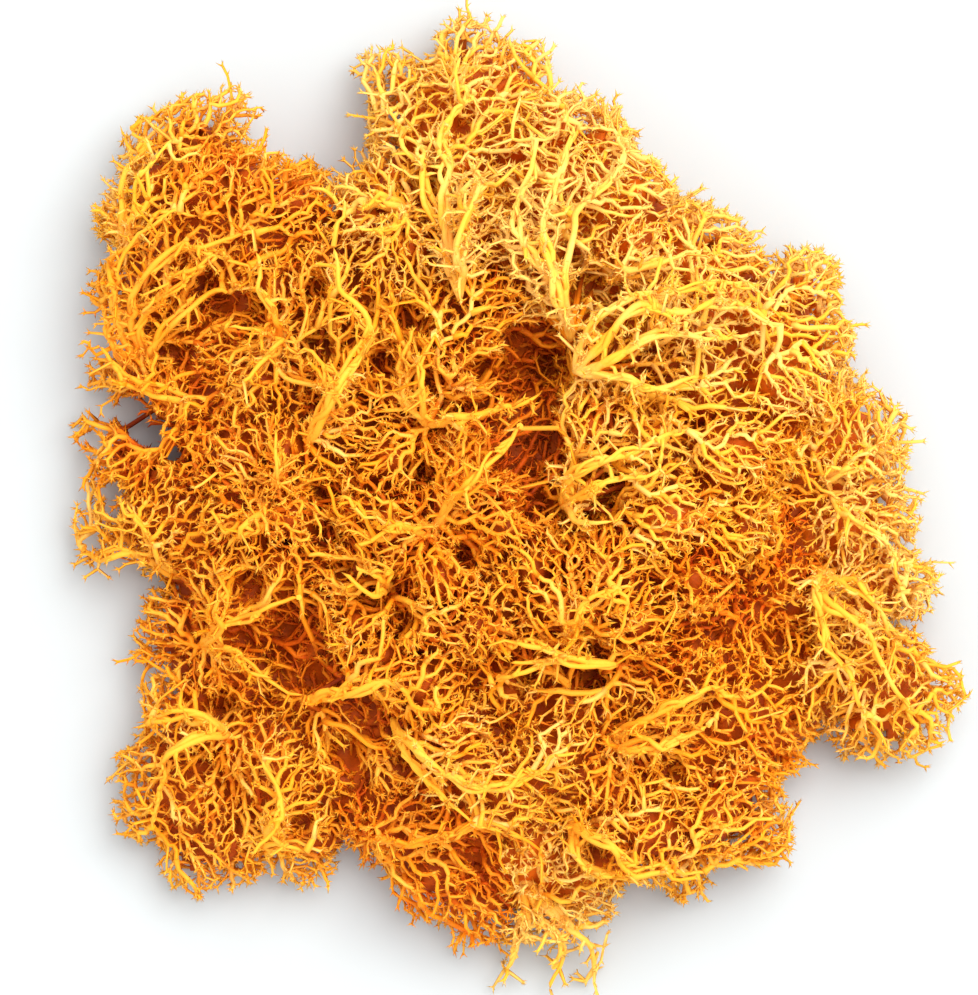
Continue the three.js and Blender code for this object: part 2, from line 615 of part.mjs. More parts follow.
// A twig with a starred end that rises out of one triangle: its corners draw together into a shaft,
// and the shaft's end splits into three prongs. Its points are the ring at the shaft's end, the
// middle of that ring, and the three tips.
function starOver([a, b, c], seed) {
  const middle = a.clone().add(b).add(c).divideScalar(3);
  const out = b.clone().sub(a).cross(c.clone().sub(a)).normalize();
  const end = middle.clone().addScaledVector(out, between(star.low, star.high, seed));
  const ring = [a, b, c].map((corner) => corner.clone().sub(middle).setLength(star.girth).add(end));
  const tips = [[a, b], [b, c], [c, a]].map(([from, to], i) => {
    const length = between(0.65, 1, seed + i * 0.37 + 0.1);
    const beside = from.clone().add(to).divideScalar(2).sub(middle).setLength(length * star.spread);
    return beside.addScaledVector(out, length * star.rise).add(end);
  });
  return { middle, out, points: [...ring, end, ...tips] };
}

// The faces of such a twig, from its triangle's corners and the place of its first point in the list
function starFaces(base, ring) {
  return [0, 1, 2].flatMap((i) => {
    const next = (i + 1) % 3;
    const [end, tip] = [ring + 3, ring + 4 + i];
    const shaft = [base[i], base[next], ring + next, base[i], ring + next, ring + i];
    return [...shaft, ring + i, ring + next, tip, ring + next, end, tip, end, ring + i, tip];
  });
}

// The stars on the crowns. A star may share one corner with another but no edge, and it is left out
// beside a stem, on a steep slope, and where it would meet a mat or another star.
const stars = [];
const mats = forEachTuft((tuft) => {
  const { points, tops, faces } = plans[tuft];
  const starred = [];
  for (const base of tops) {
    const triangle = base.map((point) => points[point]);
    const seed = triangle[0].x * 3.3 + triangle[1].y;
    const { middle, out, points: added } = starOver(triangle, seed);
    const solid = faceted([...triangle, ...added], [2, 1, 0, ...starFaces([0, 1, 2], 3)]);
    const isCrowded =
      between(0, 1, seed + 0.9) > star.share ||
      out.z < star.steepest ||
      starred.some((other) => other.filter((point) => base.includes(point)).length > 1) ||
      stemPoints.some(({ point }) => off(point, middle) < star.clear) ||
      [...Object.values(plainMats), ...stars].some((other) => meets(other, solid));
    if (isCrowded) {
      faces.push(...base);
    } else {
      starred.push(base);
      stars.push(solid);
      faces.push(...starFaces(base, points.length));
      points.push(...added);
    }
  }
  return faceted(points, faces);
});

// A limb ties each part of a tuft's mat to the nearest stem where no stem runs through it.
function limbsOf(tuft) {
  const stems = stemsOf[tuft];
  const alongStems = stems.flatMap(({ path }) => curveOf(path).getSpacedPoints(path.length * 4));
  const holds = [at(tufts[tuft].root), ...alongStems];
  const parts = plainMats[tuft].decompose().filter((part) => part.volume() > mat.scrap);
  const begun = stems.length ? stems.map((one) => branch(one)) : [parts.shift()];
  let joined = begun.reduce((a, b) => a.add(b));
  return parts.flatMap((part) => {
    const { min, max } = part.boundingBox();
    const middle = at(min).lerp(at(max), 0.5);
    const path = [least(holds, (point) => point.distanceTo(middle)), middle];
    const isHeld = joined.intersect(part).volume() > 1;
    joined = joined.add(part);
    holds.push(middle);
    return isHeld ? [] : [{ path, steps: 1, start: limb.root, end: limb.tip, sides: limb.sides }];
  });
}
const bonesOf = forEachTuft((tuft) => [...stemsOf[tuft], ...limbsOf(tuft)]);

// The tufts as solids: a mat that gives way where a stem of another tuft lies in it, and its stems
const solids = forEachTuft((tuft) => {
  const body = names
    .filter((other) => other !== tuft)
    .flatMap((other) => bonesOf[other].map((bone) => branch(bone, clearance)))
    .filter((path) => meets(path, mats[tuft]))
    .reduce((rest, path) => rest.subtract(path), mats[tuft]);
  return largest(bonesOf[tuft].reduce((all, bone) => all.add(branch(bone)), body));
});

// The radius of a head at a height: round above and below, straight between
function girthAt({ top, foot, radius }, z) {
  const past = Math.max(z - (top - radius), foot + radius - z, 0);
  return Math.sqrt(Math.max(radius ** 2 - past ** 2, 0));
}

// The twigs round the sides of a head. Twig k of n stands at the share (k + 0.5) / n of the head's
// height, one golden angle on from the last, which spreads them evenly. It is left out where
// another head covers it.
function sideTwigs(one) {
  const { x, y, top, foot, radius } = one;
  const count = Math.round((2 * Math.PI * radius * (top - foot)) / star.spacing ** 2);
  const covers = (point) => (other) => other !== one && girthAt(other, point.z) > off(other, point);
  return Array.from({ length: count }, (_, k) => {
    const z = foot + ((top - foot) * (k + 0.5)) / count;
    const angle = k * goldenAngle + x + y;
    const girth = girthAt(one, z);
    const end = new THREE.Vector3(x + girth * Math.cos(angle), y + girth * Math.sin(angle), z);
    const past = Math.max(z - (top - radius), 0) - Math.max(foot + radius - z, 0);
    const out = new THREE.Vector3(girth * Math.cos(angle), girth * Math.sin(angle), past).normalize();
    const across = new THREE.Vector3(-out.y, out.x, 0).normalize().applyAxisAngle(out, angle * z);
    const lengths = [0, 1, 2].map((i) => between(0.65, 1, z + angle + i * 0.37));
    return { base: end.clone().addScaledVector(out, -star.sunk), end, out, across, lengths };
  }).filter(({ end, out }) => {
    const ahead = end.clone().addScaledVector(out, star.sunk);
    return Math.abs(out.z) < star.steepest && !heads.some(covers(ahead));
  });
}

// Such a twig as a solid of its own, with a closed foot to sink into the mat
function sideTwig({ base, end, out, across, lengths }, extra = 0) {
  const spoke = (centre, radius, turn) =>
    across
      .clone()
      .applyAxisAngle(out, (turn * 2 * Math.PI) / 3)
      .multiplyScalar(radius)
      .add(centre);
  const ringAt = (centre) => [0, 1, 2].map((i) => spoke(centre, star.girth + extra, i));
  const tips = lengths.map((length, i) =>
    spoke(end, length * star.spread + extra, i + 0.5).addScaledVector(out, length * star.rise + extra),
  );
  return faceted([...ringAt(base), ...ringAt(end), end, ...tips], [2, 1, 0, ...starFaces([0, 1, 2], 3)]);
}

// Side twigs are fused on one by one, where a slightly swollen copy meets no other tuft and no twig.
for (const tuft of names) {
  const grown = names.filter((other) => other !== tuft).map((other) => solids[other]);
  for (const plan of headsOf[tuft].flatMap(sideTwigs)) {
    const swollen = sideTwig(plan, clearance);
    if (swollen.boundingBox().min[2] < floorGap || grown.some((rival) => meets(swollen, rival))) continue;
    grown.push(swollen);
    solids[tuft] = largest(solids[tuft].add(sideTwig(plan)));
  }
}

// The mesh of a tuft in the colour of its dye
function meshOf(tuft) {
  const { vertProperties, triVerts } = solids[tuft].simplify(shortest).getMesh();
  const geometry = new THREE.BufferGeometry();
  geometry.setAttribute("position", new THREE.BufferAttribute(vertProperties, 3));
  geometry.setIndex(new THREE.BufferAttribute(triVerts, 1));
  geometry.computeVertexNormals();
  const color = deepDye.clone().lerp(paleDye, tufts[tuft].tone);
  const mesh = new THREE.Mesh(geometry, new THREE.MeshStandardMaterial({ color, ...finish }));
  mesh.name = `tuft_${tuft}`;
  return mesh;
}

const clump = new THREE.Group();
for (const tuft of names) clump.add(meshOf(tuft));

export default clump;
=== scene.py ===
# Curly moss: a loose handful of dyed, preserved reindeer lichen, a tangle of thirty bushy tufts.
# Each tuft grows here as a real one does: bare stems, spines into its heads, curly twigs that fork
# all the way out, and a few short prongs at the end of every twig.
# The tables are in millimetres, and every mesh is made in metres, in the frame of the solids.

import math
import bpy
import numpy as np
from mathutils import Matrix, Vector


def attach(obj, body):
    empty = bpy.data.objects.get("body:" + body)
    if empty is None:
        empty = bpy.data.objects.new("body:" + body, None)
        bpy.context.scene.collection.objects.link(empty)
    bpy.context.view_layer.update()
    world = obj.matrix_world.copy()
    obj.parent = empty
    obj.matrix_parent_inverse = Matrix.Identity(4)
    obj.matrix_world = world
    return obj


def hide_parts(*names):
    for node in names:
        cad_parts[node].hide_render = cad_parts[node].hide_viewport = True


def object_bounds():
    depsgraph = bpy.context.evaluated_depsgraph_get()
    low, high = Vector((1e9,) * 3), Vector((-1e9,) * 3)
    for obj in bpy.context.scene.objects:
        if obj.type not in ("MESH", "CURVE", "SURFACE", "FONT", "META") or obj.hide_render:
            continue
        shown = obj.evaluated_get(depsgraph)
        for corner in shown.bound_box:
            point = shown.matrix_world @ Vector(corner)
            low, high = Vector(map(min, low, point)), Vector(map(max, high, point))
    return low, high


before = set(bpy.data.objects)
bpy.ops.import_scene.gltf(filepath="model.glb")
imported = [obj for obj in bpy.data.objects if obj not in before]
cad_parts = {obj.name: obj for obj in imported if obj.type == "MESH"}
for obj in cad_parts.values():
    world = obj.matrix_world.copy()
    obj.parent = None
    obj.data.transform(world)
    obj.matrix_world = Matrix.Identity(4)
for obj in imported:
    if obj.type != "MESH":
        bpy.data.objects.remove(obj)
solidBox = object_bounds()
mm = 0.001
tiny = 1e-9  # keeps a division by a length of nothing from failing
lowCorner, highCorner = (np.array([*corner]) / mm for corner in solidBox)

# The tufts as they lie, seen from above: where each one springs from, how pale it is (0 dark,
# 1 pale), its heads as (x, y, height of the crown, radius, height of the underside), and the points
# (x, y, z) of its bare stems from the root outwards
tufts = {
    "hook": {
        "root": (-45.5, 29, 8), "tone": 0.82,
        "heads": [
            (-32.5, 48, 13, 3.4, 5), (-37.5, 46.5, 14, 4.2, 3), (-43.5, 45, 10, 2.6, 4),
            (-42, 39.5, 16, 4.6, 1), (-45.5, 34.5, 14, 4, 2),
        ],
        "stems": [
            [(-44.5, 35, 15), (-41.8, 41, 17), (-39.5, 45, 15.5)],
            [(-46, 34, 13), (-44.2, 41, 14), (-43.6, 46.5, 9)],
        ],
    },
    "arch": {
        "root": (-43, 16, 9), "tone": 0.5,
        "heads": [
            (-36, 38, 20, 5.4, 2), (-30, 38.5, 21, 5.4, 2), (-24, 36.5, 22, 5.2, 1), (-38, 31, 17, 6, 1),
            (-31, 31, 18, 6, 0), (-41, 24, 13, 6, 0), (-34, 24, 14, 6, 0), (-46, 26, 13, 4, 2),
        ],
        "stems": [
            [(-46.5, 21, 13), (-46.5, 28, 17), (-42, 33.5, 19), (-35.5, 35.5, 20.5)],
            [(-44.8, 23, 15), (-41, 29.5, 19), (-35, 32, 20.5), (-28.5, 33, 21)],
            [(-43, 22, 15), (-39, 26.5, 18.5), (-33, 29.3, 20.5), (-28, 29, 21)],
            [(-41, 20, 14), (-37.5, 23.5, 17), (-32, 25.8, 18.5)],
            [(-46.5, 18, 12), (-48.6, 24.5, 12)],
        ],
    },
    "lattice": {
        "root": (-36, 11, 12), "tone": 0.45,
        "heads": [
            (-48.5, 8, 9, 3.6, 1), (-47, 14.5, 11, 3.4, 2), (-45, 3.5, 14, 5, 0), (-38.5, 5, 18, 6, 0),
            (-40, 15, 16, 5, 1),
        ],
        "stems": [
            [(-42, 13.6, 15), (-46, 16.8, 15), (-49.2, 18.6, 13)],
            [(-40, 13, 16), (-44, 15, 15), (-47, 14, 12)],
        ],
    },
    "west": {
        "root": (-38.5, -10, 9), "tone": 0.72,
        "heads": [
            (-48.5, -2.5, 10, 4, 2), (-43.5, -2, 14, 5, 0), (-38, -3, 17, 5.5, 0), (-50, -6.5, 7, 2.4, 2),
        ],
        "stems": [
            [(-41.6, -7, 13), (-42.6, -3, 15), (-45.5, 0.5, 14)],
            [(-43, -8.3, 10), (-47, -7.2, 9), (-51, -6.6, 6)],
        ],
    },
    "fork": {
        "root": (-36, -18.5, 11), "tone": 0.5,
        "heads": [
            (-23.5, -15.5, 10, 5, 0), (-39.5, -15.5, 12, 4.4, 1), (-42.5, -19, 8, 2.5, 3),
            (-32, -10, 20, 5.5, 0), (-33, -22, 14, 5, 0), (-26, -9, 22, 5.5, 3),
        ],
        "stems": [
            [(-34, -16.6, 18), (-32.6, -12, 21), (-33.5, -9, 22)],
            [(-32.5, -15.6, 18.5), (-28.5, -14.3, 21), (-24, -13.3, 22.5)],
            [(-32, -19.6, 17), (-27.5, -21.8, 18), (-24, -24.6, 18.5)],
        ],
    },
    "southwest": {
        "root": (-32.5, -29.6, 13), "tone": 0.62,
        "heads": [
            (-34, -36, 9, 4.5, 1), (-33, -30, 12, 4, 1), (-39, -26, 13, 4.8, 1), (-42, -34, 12, 4.6, 0),
            (-44, -40, 9, 3.6, 1), (-37.5, -38, 12, 5.4, 0), (-37, -46, 9, 4.2, 0.5),
            (-32, -44, 11, 4.8, 1),
        ],
        "stems": [
            [(-36, -30.2, 17), (-40, -32.2, 15.5), (-41.4, -37, 13), (-42.2, -42, 9)],
            [(-36, -27.6, 16), (-40, -27, 15), (-43.5, -28, 11)],
        ],
    },
    "curls": {
        "root": (-28, -44, 7), "tone": 0.7,
        "heads": [(-27, -33, 16, 5.5, 1), (-25, -40, 14, 5.2, 0), (-23, -45.5, 9, 3.8, 1)],
        "stems": [
            [(-27.4, -41, 15), (-25.6, -37.6, 17), (-26.5, -33, 18.5)],
            [(-26.6, -44.4, 12.5), (-24.4, -44.6, 12)],
        ],
    },
    "bridge": {
        "root": (-23, -25.3, 17), "tone": 0.52,
        "heads": [
            (-23, -23.5, 11, 4.4, 0), (-13.5, -19.5, 25, 5, 6), (-8, -23, 25, 5.5, 4), (-18, -31, 17, 6, 0),
            (-11, -33, 18, 5.5, 0),
        ],
        "stems": [[(-19, -24.4, 24), (-13.5, -23.8, 26.5), (-9.5, -25.3, 26.5), (-6.5, -27.5, 25)]],
    },
    "antler": {
        "root": (-12, -27.5, 18), "tone": 0.8,
        "heads": [
            (10, -37.5, 14, 3.6, 0), (-4.5, -29, 22, 5.2, 0), (2, -37, 22, 5.5, 0), (8, -31.5, 22, 5, 4),
        ],
        "stems": [
            [(-9, -31, 23.5), (-4, -35, 24.5), (2, -35.4, 25), (7, -33, 25), (11.5, -31.2, 24.5)],
            [(-9.4, -32.5, 21.5), (-5, -38, 21.5), (-1, -40.4, 21)],
        ],
    },
    "south": {
        "root": (-16, -42, 9), "tone": 0.35,
        "heads": [
            (-8, -39, 14, 4.2, 0), (-7, -47, 14, 6, 0), (-1, -51.5, 12, 5, 1), (-13, -41, 15, 5.2, 0),
            (-3, -44, 15, 5.5, 0),
        ],
        "stems": [
            [(-11, -43, 17.5), (-5, -42.4, 19), (0, -41.6, 19.5), (4.5, -43.4, 18.5), (6.5, -46, 17)],
        ],
    },
    "fringe": {
        "root": (4, -48, 9), "tone": 1.08,
        "heads": [(6, -52, 11, 4.6, 1), (11.5, -50, 12, 4.6, 0.5), (5, -45, 16, 5, 0)],
        "stems": [
            [(4.2, -54, 8), (3.6, -57, 6.5), (3.1, -60, 3)],
            [(7.5, -55, 8), (8.6, -58.5, 5), (8.3, -61, 2.6)],
            [(10.5, -54.5, 8), (12.6, -57.5, 5), (13.2, -61, 2.6)],
        ],
    },
    "southeast": {
        "root": (9.5, -40, 14), "tone": 0.7,
        "heads": [
            (18.5, -36.5, 14, 4, 0), (33.5, -41.5, 16, 5, 1.5), (28, -40, 19, 6, 0), (20.5, -42, 19, 6, 0),
            (32, -35.5, 17, 4.4, 2), (13.5, -44.5, 16, 5, 0), (24.5, -48, 9, 3, 2),
        ],
        "stems": [
            [(13.2, -42.6, 20.5), (17, -45.2, 20), (23, -46.6, 17), (28, -46.5, 14)],
            [(12, -45.6, 18.5), (16.4, -47, 18), (20, -46.4, 18.5)],
        ],
    },
    "ember": {
        "root": (14, -30.5, 14), "tone": 0.56,
        "heads": [
            (11.5, -31, 16, 3.6, 1), (36, -26.5, 16, 4.8, 2), (29.5, -27, 19, 5.5, 1),
            (22.5, -28.5, 20, 5.5, 0), (37, -31.5, 12, 3.2, 3), (15.5, -35.5, 20, 5.5, 0),
            (24, -34, 18, 5, 1),
        ],
        "stems": [
            [(18.5, -31, 21.5), (23.5, -30, 22.5), (28, -27.4, 21.5)],
            [(20, -27, 22), (25.6, -24, 22.5), (32, -22.8, 20.5)],
        ],
    },
    "sheaf": {
        "root": (15.6, -20.6, 26), "tone": 0.62,
        "heads": [(3, -22.5, 22, 5, 2), (10.5, -25, 22, 5.5, 1), (17, -22, 20, 4.6, 4)],
        "stems": [
            [(10.5, -19.8, 27.6), (4.5, -18.4, 27.2), (-0.5, -20, 25)],
            [(10, -20.6, 26), (4.5, -20.8, 25.4), (0.5, -22.4, 24)],
        ],
    },
    "lobe": {
        "root": (40.5, -8.5, 12), "tone": 0.85,
        "heads": [
            (40, -25, 9, 3.4, 0), (48, -10, 12, 3, 1), (51, -27.5, 15, 5.8, 2), (56, -24.5, 13, 3.6, 4),
            (46.5, -28.5, 13, 4.4, 2), (45, -21.5, 16, 5, 1), (39.4, -22.4, 16, 3.2, 0),
            (44, -14, 17, 5.2, 0), (52, -20.5, 14, 3.8, 3),
        ],
        "stems": [
            [(42.6, -13, 18.8), (46.4, -16.8, 19.5), (48.6, -21.5, 18.5), (51.6, -26.6, 17)],
            [(41.2, -12, 18.5), (41.6, -17, 18.5), (44.4, -21.5, 18), (46, -26, 16)],
            [(44, -10.5, 18), (47.8, -14, 18.5), (51, -19, 16.5)],
        ],
    },
    "east": {
        "root": (41, 1.5, 12), "tone": 1.12,
        "heads": [
            (41, 7, 13, 3.6, 0), (47, 4.5, 17, 5.2, 1), (49.5, -2.5, 15, 4.4, 2), (52, -11, 15, 4.2, 2),
            (44, -4, 18, 5, 0), (49.5, 9.5, 10, 3, 3), (44, 11, 16, 4.6, 1),
        ],
        "stems": [
            [(44.5, 3.4, 18.5), (48.8, 6.2, 15), (52, 9.3, 11)],
            [(45, -2.6, 19.3), (49, -7, 17.5), (52.5, -11.4, 15.5)],
        ],
    },
    "fan": {
        "root": (10.5, 15.5, 27), "tone": 1.03,
        "heads": [
            (20, 15.5, 20, 4, 1), (39.5, 26.5, 19, 4.8, 2), (41.5, 19.5, 19, 4.2, 1),
            (36, 14.5, 25, 6.2, 0), (33, 22, 22, 5.5, 0), (25.5, 21, 24, 6, 0), (27, 13, 25, 5.5, 1),
            (40, 12.5, 21, 4.2, 1), (12.6, 12.6, 26.5, 3.2, 0),
        ],
        "stems": [
            [(11.6, 19.5, 30), (15, 23.4, 31.5), (21, 24.6, 31), (29, 25.4, 28), (36.5, 25, 23.5)],
            [(14.6, 19.7, 31), (18, 22.6, 32.5), (24, 22.4, 31.5), (31, 23, 28), (37, 21.5, 24.5)],
            [(15.6, 17.2, 31), (19, 20, 32), (26, 20.2, 31), (33, 20, 27)],
            [(14.6, 14.8, 30), (20, 13.7, 31), (26, 13, 30)],
        ],
    },
    "spire": {
        "root": (10, 19.5, 25), "tone": 1.2,
        "heads": [
            (10, 25.5, 14, 4.4, 0), (1.5, 30, 26, 3.8, 1), (4.8, 24.6, 26.5, 2.6, 0),
            (13.5, 44.5, 19, 4.8, 2), (18.5, 38, 20, 4.8, 1), (13.5, 37.5, 23, 5, 0), (8.5, 46, 22, 5, 3),
            (7, 39, 26, 5.5, 2), (8, 31, 27, 5, 0), (5, 54.5, 12, 3, 3),
        ],
        "stems": [
            [
                (8.6, 24.5, 30.5), (7.2, 29.5, 32), (6.9, 34, 31.5), (8.4, 38.5, 30), (9.8, 43.5, 26),
                (10, 49, 20),
            ],
            [(8, 26, 29), (3.8, 31.5, 31.5), (4.5, 37, 31), (5, 43, 27.5), (3, 49, 22)],
            [(9.4, 26.5, 29.5), (11, 33, 28.5), (15, 40, 24.5), (17, 45, 17)],
        ],
    },
    "ridge": {
        "root": (15, 27, 20), "tone": 1.1,
        "heads": [
            (24, 33, 20, 4.6, 1), (28.5, 32.5, 16, 3.8, 2), (18, 31, 24, 5, 1), (31.5, 28.5, 17, 3.6, 2),
            (25, 27.5, 22, 4.6, 0),
        ],
        "stems": [[(18, 28.6, 26), (22, 29, 26), (28, 30.5, 21)]],
    },
    "crest": {
        "root": (-3.6, 24.5, 26), "tone": 1.06,
        "heads": [
            (-3, 57, 12, 4, 2), (1.5, 52, 16, 4.8, 1), (-4, 49.5, 19, 5.4, 0), (-12, 52, 13, 4, 2),
            (-10.5, 45.5, 18, 4.8, 0), (-4, 41.5, 23, 5.4, 0), (2, 44.5, 22, 5, 0), (-3, 33, 27, 5.5, 1),
            (-14.5, 54.5, 9, 2.2, 3),
        ],
        "stems": [
            [(-3.4, 29.5, 31.5), (-2.8, 35.5, 31.5), (-1.4, 41.6, 29)],
            [(-2.6, 36.6, 31), (0.8, 38.4, 30), (2.9, 40.4, 27.6)],
            [(-5.2, 36, 27), (-5.8, 44, 23), (-2.4, 49.5, 21.5), (-6.5, 54, 15)],
            [(-7.5, 38, 25), (-10, 44.6, 21), (-13.6, 50.6, 15)],
        ],
    },
    "collar": {
        "root": (-10, 35.5, 22), "tone": 0.95,
        "heads": [
            (-12, 28, 20, 3.4, 1), (-15.4, 28.2, 25, 3, 0), (-12, 39.5, 21, 4.4, 2), (-15.5, 34, 24, 5, 1),
            (-9.5, 31, 27, 5, 2), (-18.5, 36.5, 21, 3.6, 4),
        ],
        "stems": [[(-13.4, 36.4, 26), (-16, 37.8, 24)], [(-12.6, 32.5, 28), (-17.2, 33.6, 27)]],
    },
    "crook": {
        "root": (-22.5, 6, 22), "tone": 0.68,
        "heads": [
            (-16.5, 23, 20, 4, 1), (-17.5, 9.5, 27, 5.2, 1), (-21.5, 18.5, 22, 5.2, 0),
            (-20, 27, 24, 5.2, 0),
        ],
        "stems": [
            [
                (-20.4, 11, 28.5), (-17.8, 14.8, 30.5), (-15.4, 18.6, 31.5), (-15.4, 22.4, 31.5),
                (-17.4, 26.2, 31), (-19.6, 30.6, 29),
            ],
            [(-19.6, 14.6, 29.5), (-22.4, 16.8, 28.5), (-24.4, 16, 27)],
        ],
    },
    "stag": {
        "root": (-26, 19.6, 18), "tone": 0.63,
        "heads": [
            (-22, 13, 18, 3.6, 1), (-28.5, 14.5, 24, 5, 0), (-32, 17, 19, 5, 0), (-26.5, 26, 22, 5, 1),
            (-36, 11, 17, 4, 2),
        ],
        "stems": [
            [(-26.4, 22.6, 26), (-27.6, 27.4, 27), (-28.5, 30, 26.5)],
            [(-27, 17.6, 26.5), (-29.5, 14, 27)],
            [(-28.6, 20.6, 25), (-32.5, 20.6, 22.5)],
        ],
    },
    "meadow": {
        "root": (-27, 0, 14), "tone": 0.55,
        "heads": [
            (-31.5, 5, 23, 5.5, 0), (-25, 6, 25, 5.2, 1), (-31, -3.5, 23, 5, 0), (-24.5, -2.5, 26, 5.4, 1),
        ],
        "stems": [[(-25.8, 3, 28), (-27, 8.5, 27.6)], [(-28.5, -2.8, 26), (-33, -6.5, 22)]],
    },
    "brace": {
        "root": (-7.5, 9, 26), "tone": 0.57,
        "heads": [
            (3.5, 18, 13, 5.5, 0), (-5.5, 27.5, 20, 3, 1), (-11.5, 13.5, 28, 5.4, 0), (-9, 22, 28, 5.2, 0),
            (-3, 17, 28, 5, 0), (-12, 5, 28, 5.4, 1), (0, 25, 28, 4.6, 1),
        ],
        "stems": [
            [(-4, 9.6, 32), (1, 10.8, 33), (6.2, 12.6, 31.5)],
            [(-8.6, 12, 31.5), (-8.6, 16.6, 31.5), (-6, 20, 30.5)],
        ],
    },
    "heart": {
        "root": (-7, -4.5, 22), "tone": 0.47,
        "heads": [
            (5.5, 6.5, 14, 5, 0), (-3.5, 3, 30, 5.6, 0), (-12, -3.5, 28, 5.5, 0), (-17.5, -0.5, 27, 4.6, 2),
            (-6, -9.5, 29, 5.6, 0), (2, -3, 30, 5.2, 0),
        ],
        "stems": [
            [(-10.5, -3.6, 30.5), (-15.6, -4.6, 29.5)],
            [(-3, 1.5, 33), (1.6, 5.4, 33), (4, 9, 30.5)],
        ],
    },
    "nest": {
        "root": (-12, -11, 18), "tone": 0.62,
        "heads": [
            (-17, -9.5, 25, 5, 1), (-16, -15.5, 24, 4.8, 1), (-1.5, -15.5, 28, 5.2, 0),
            (-8.5, -16, 27, 5, 2), (-22.5, -4.5, 25, 4, 4),
        ],
        "stems": [[(-13, -9.6, 28.5), (-16.4, -8, 28.6)], [(-14.6, -12, 27), (-19, -10, 27)]],
    },
    "sweep": {
        "root": (9, -1, 24), "tone": 0.85,
        "heads": [
            (9.5, 1.5, 20, 4.4, 0), (13, 14.5, 14, 4, 0), (38.5, 2.5, 12, 3.4, 0), (29, 5.5, 28, 6.4, 0),
            (22, -2.5, 30, 6.4, 0), (32, -3.5, 25, 5.2, 0), (19.5, 8, 29, 5.2, 1), (13, 8.5, 28, 5, 1),
            (34.5, 7, 25, 5, 1),
        ],
        "stems": [
            [(10.6, 3.4, 31.5), (15.6, 4.8, 33), (20.6, 6.4, 32.5), (25, 9, 31)],
            [(12.4, 1.4, 32), (17.4, 1.6, 33), (21.5, 4.4, 32.5)],
            [(11.5, -2.4, 31), (15, -3.8, 32)],
        ],
    },
    "loop": {
        "root": (9.5, -18, 20), "tone": 0.6,
        "heads": [
            (8.5, -13.5, 28, 5.2, 0), (14, -8.5, 30, 5.4, 0), (5.5, -8.5, 29, 5, 1), (18, -15, 27, 5.2, 0),
        ],
        "stems": [[(10.6, -15, 30), (13, -11.9, 31.5), (15.4, -13.4, 31), (16, -17, 28.5)]],
    },
    "glow": {
        "root": (33, -11, 10), "tone": 0.5,
        "heads": [
            (25.5, -10, 26, 5.4, 0), (30, -15.5, 18, 4.8, 0), (36.5, -9.5, 19, 4.6, 0),
            (36.5, -17, 14, 3.6, 1), (37, -3, 17, 4, 1), (25, -19.5, 20, 4.6, 1), (31.5, -21.5, 17, 3.6, 3),
        ],
        "stems": [],
    },
}

# Deep pockets among the tufts, as (x, y, radius, depth under the crowns)
pockets = [
    (-25.4, -15.8, 2.8, 11.5), (-24.2, -19.2, 3, 9.2), (-21.4, -22.4, 2.8, 11.5), (-24.9, -22.2, 2.2, 9.2),
    (-31, -16.8, 2.5, 9.2), (-27.8, -18.4, 2.5, 9.2), (3.2, 15.5, 3, 16.1), (7, 16.2, 2.5, 16.1),
    (3.5, 19.2, 2.8, 13.8), (-0.6, 15.9, 2.1, 11.5), (-13.2, 16.6, 2, 10.3), (-33.1, 24.1, 2.5, 9.2),
    (-35.3, 26.6, 2, 8), (-30.1, 23.4, 2, 8), (-38.1, 17.3, 2.2, 8), (-41, 18.1, 2.1, 6.9),
    (7.2, 6.7, 2.5, 13.8), (2.2, 5.1, 2.6, 12.6), (-20.4, 0.6, 2.2, 9.2), (-20.5, -4.6, 2.2, 8),
    (-8.1, 2.9, 1.9, 10.3), (-2.8, -6.7, 1.9, 9.2), (29.1, -16.4, 2.1, 8), (-14.5, -11.8, 2.6, 9.2),
    (-11, -11.2, 2.2, 8), (-10.9, -15.1, 2.2, 8), (-9.8, 21.9, 2.2, 10.3), (-17, -25.8, 2.5, 8),
    (-14.6, -28.5, 2.5, 8), (-17.8, -31.8, 2.7, 8), (-16.8, -34.8, 2.2, 6.9), (-1.5, -44.3, 2.2, 8),
    (5.9, -0.7, 2.6, 11.5), (-29.8, -11.3, 2.4, 8), (-21.8, 25.8, 1.9, 8), (-23.6, -40.6, 2, 6.9),
    (37.6, -2.6, 2.2, 8), (35, -17.9, 2.1, 8), (22.9, -33.9, 1.9, 6.9), (-20.9, 18.4, 2.1, 9.2),
    (12.6, -22.1, 2.2, 9.2), (-33.6, -26.2, 2.2, 8), (10, 29.9, 2.1, 10.3), (12.2, 26.2, 2, 11.5),
    (14.5, 17.1, 2, 10.3), (-7, 39.2, 2, 8), (-21.5, 11.3, 1.9, 8), (-10.1, -32.8, 2.1, 6.9),
    (-7.8, 14.3, 2, 9.2), (13.9, -44.2, 2, 6.9), (18.5, -21.4, 2.1, 8), (4.5, -21.6, 1.9, 6.9),
    (10, 25.4, 1.7, 9), (15, 21.2, 1.7, 7), (17.5, 23, 1.6, 7), (-3.6, 45.6, 1.7, 7), (11.4, 33.6, 1.8, 8),
    (12.1, 3.3, 1.8, 7), (9.6, -21.2, 1.7, 7), (-25.4, -12.4, 1.8, 7), (19.9, 11, 1.7, 7),
    (15.2, 5.5, 1.5, 6), (-36.2, -26.3, 1.7, 6), (-17.8, -8.9, 1.8, 7), (-28, 22.8, 1.6, 6),
    (3.5, -18.3, 1.7, 7),
]

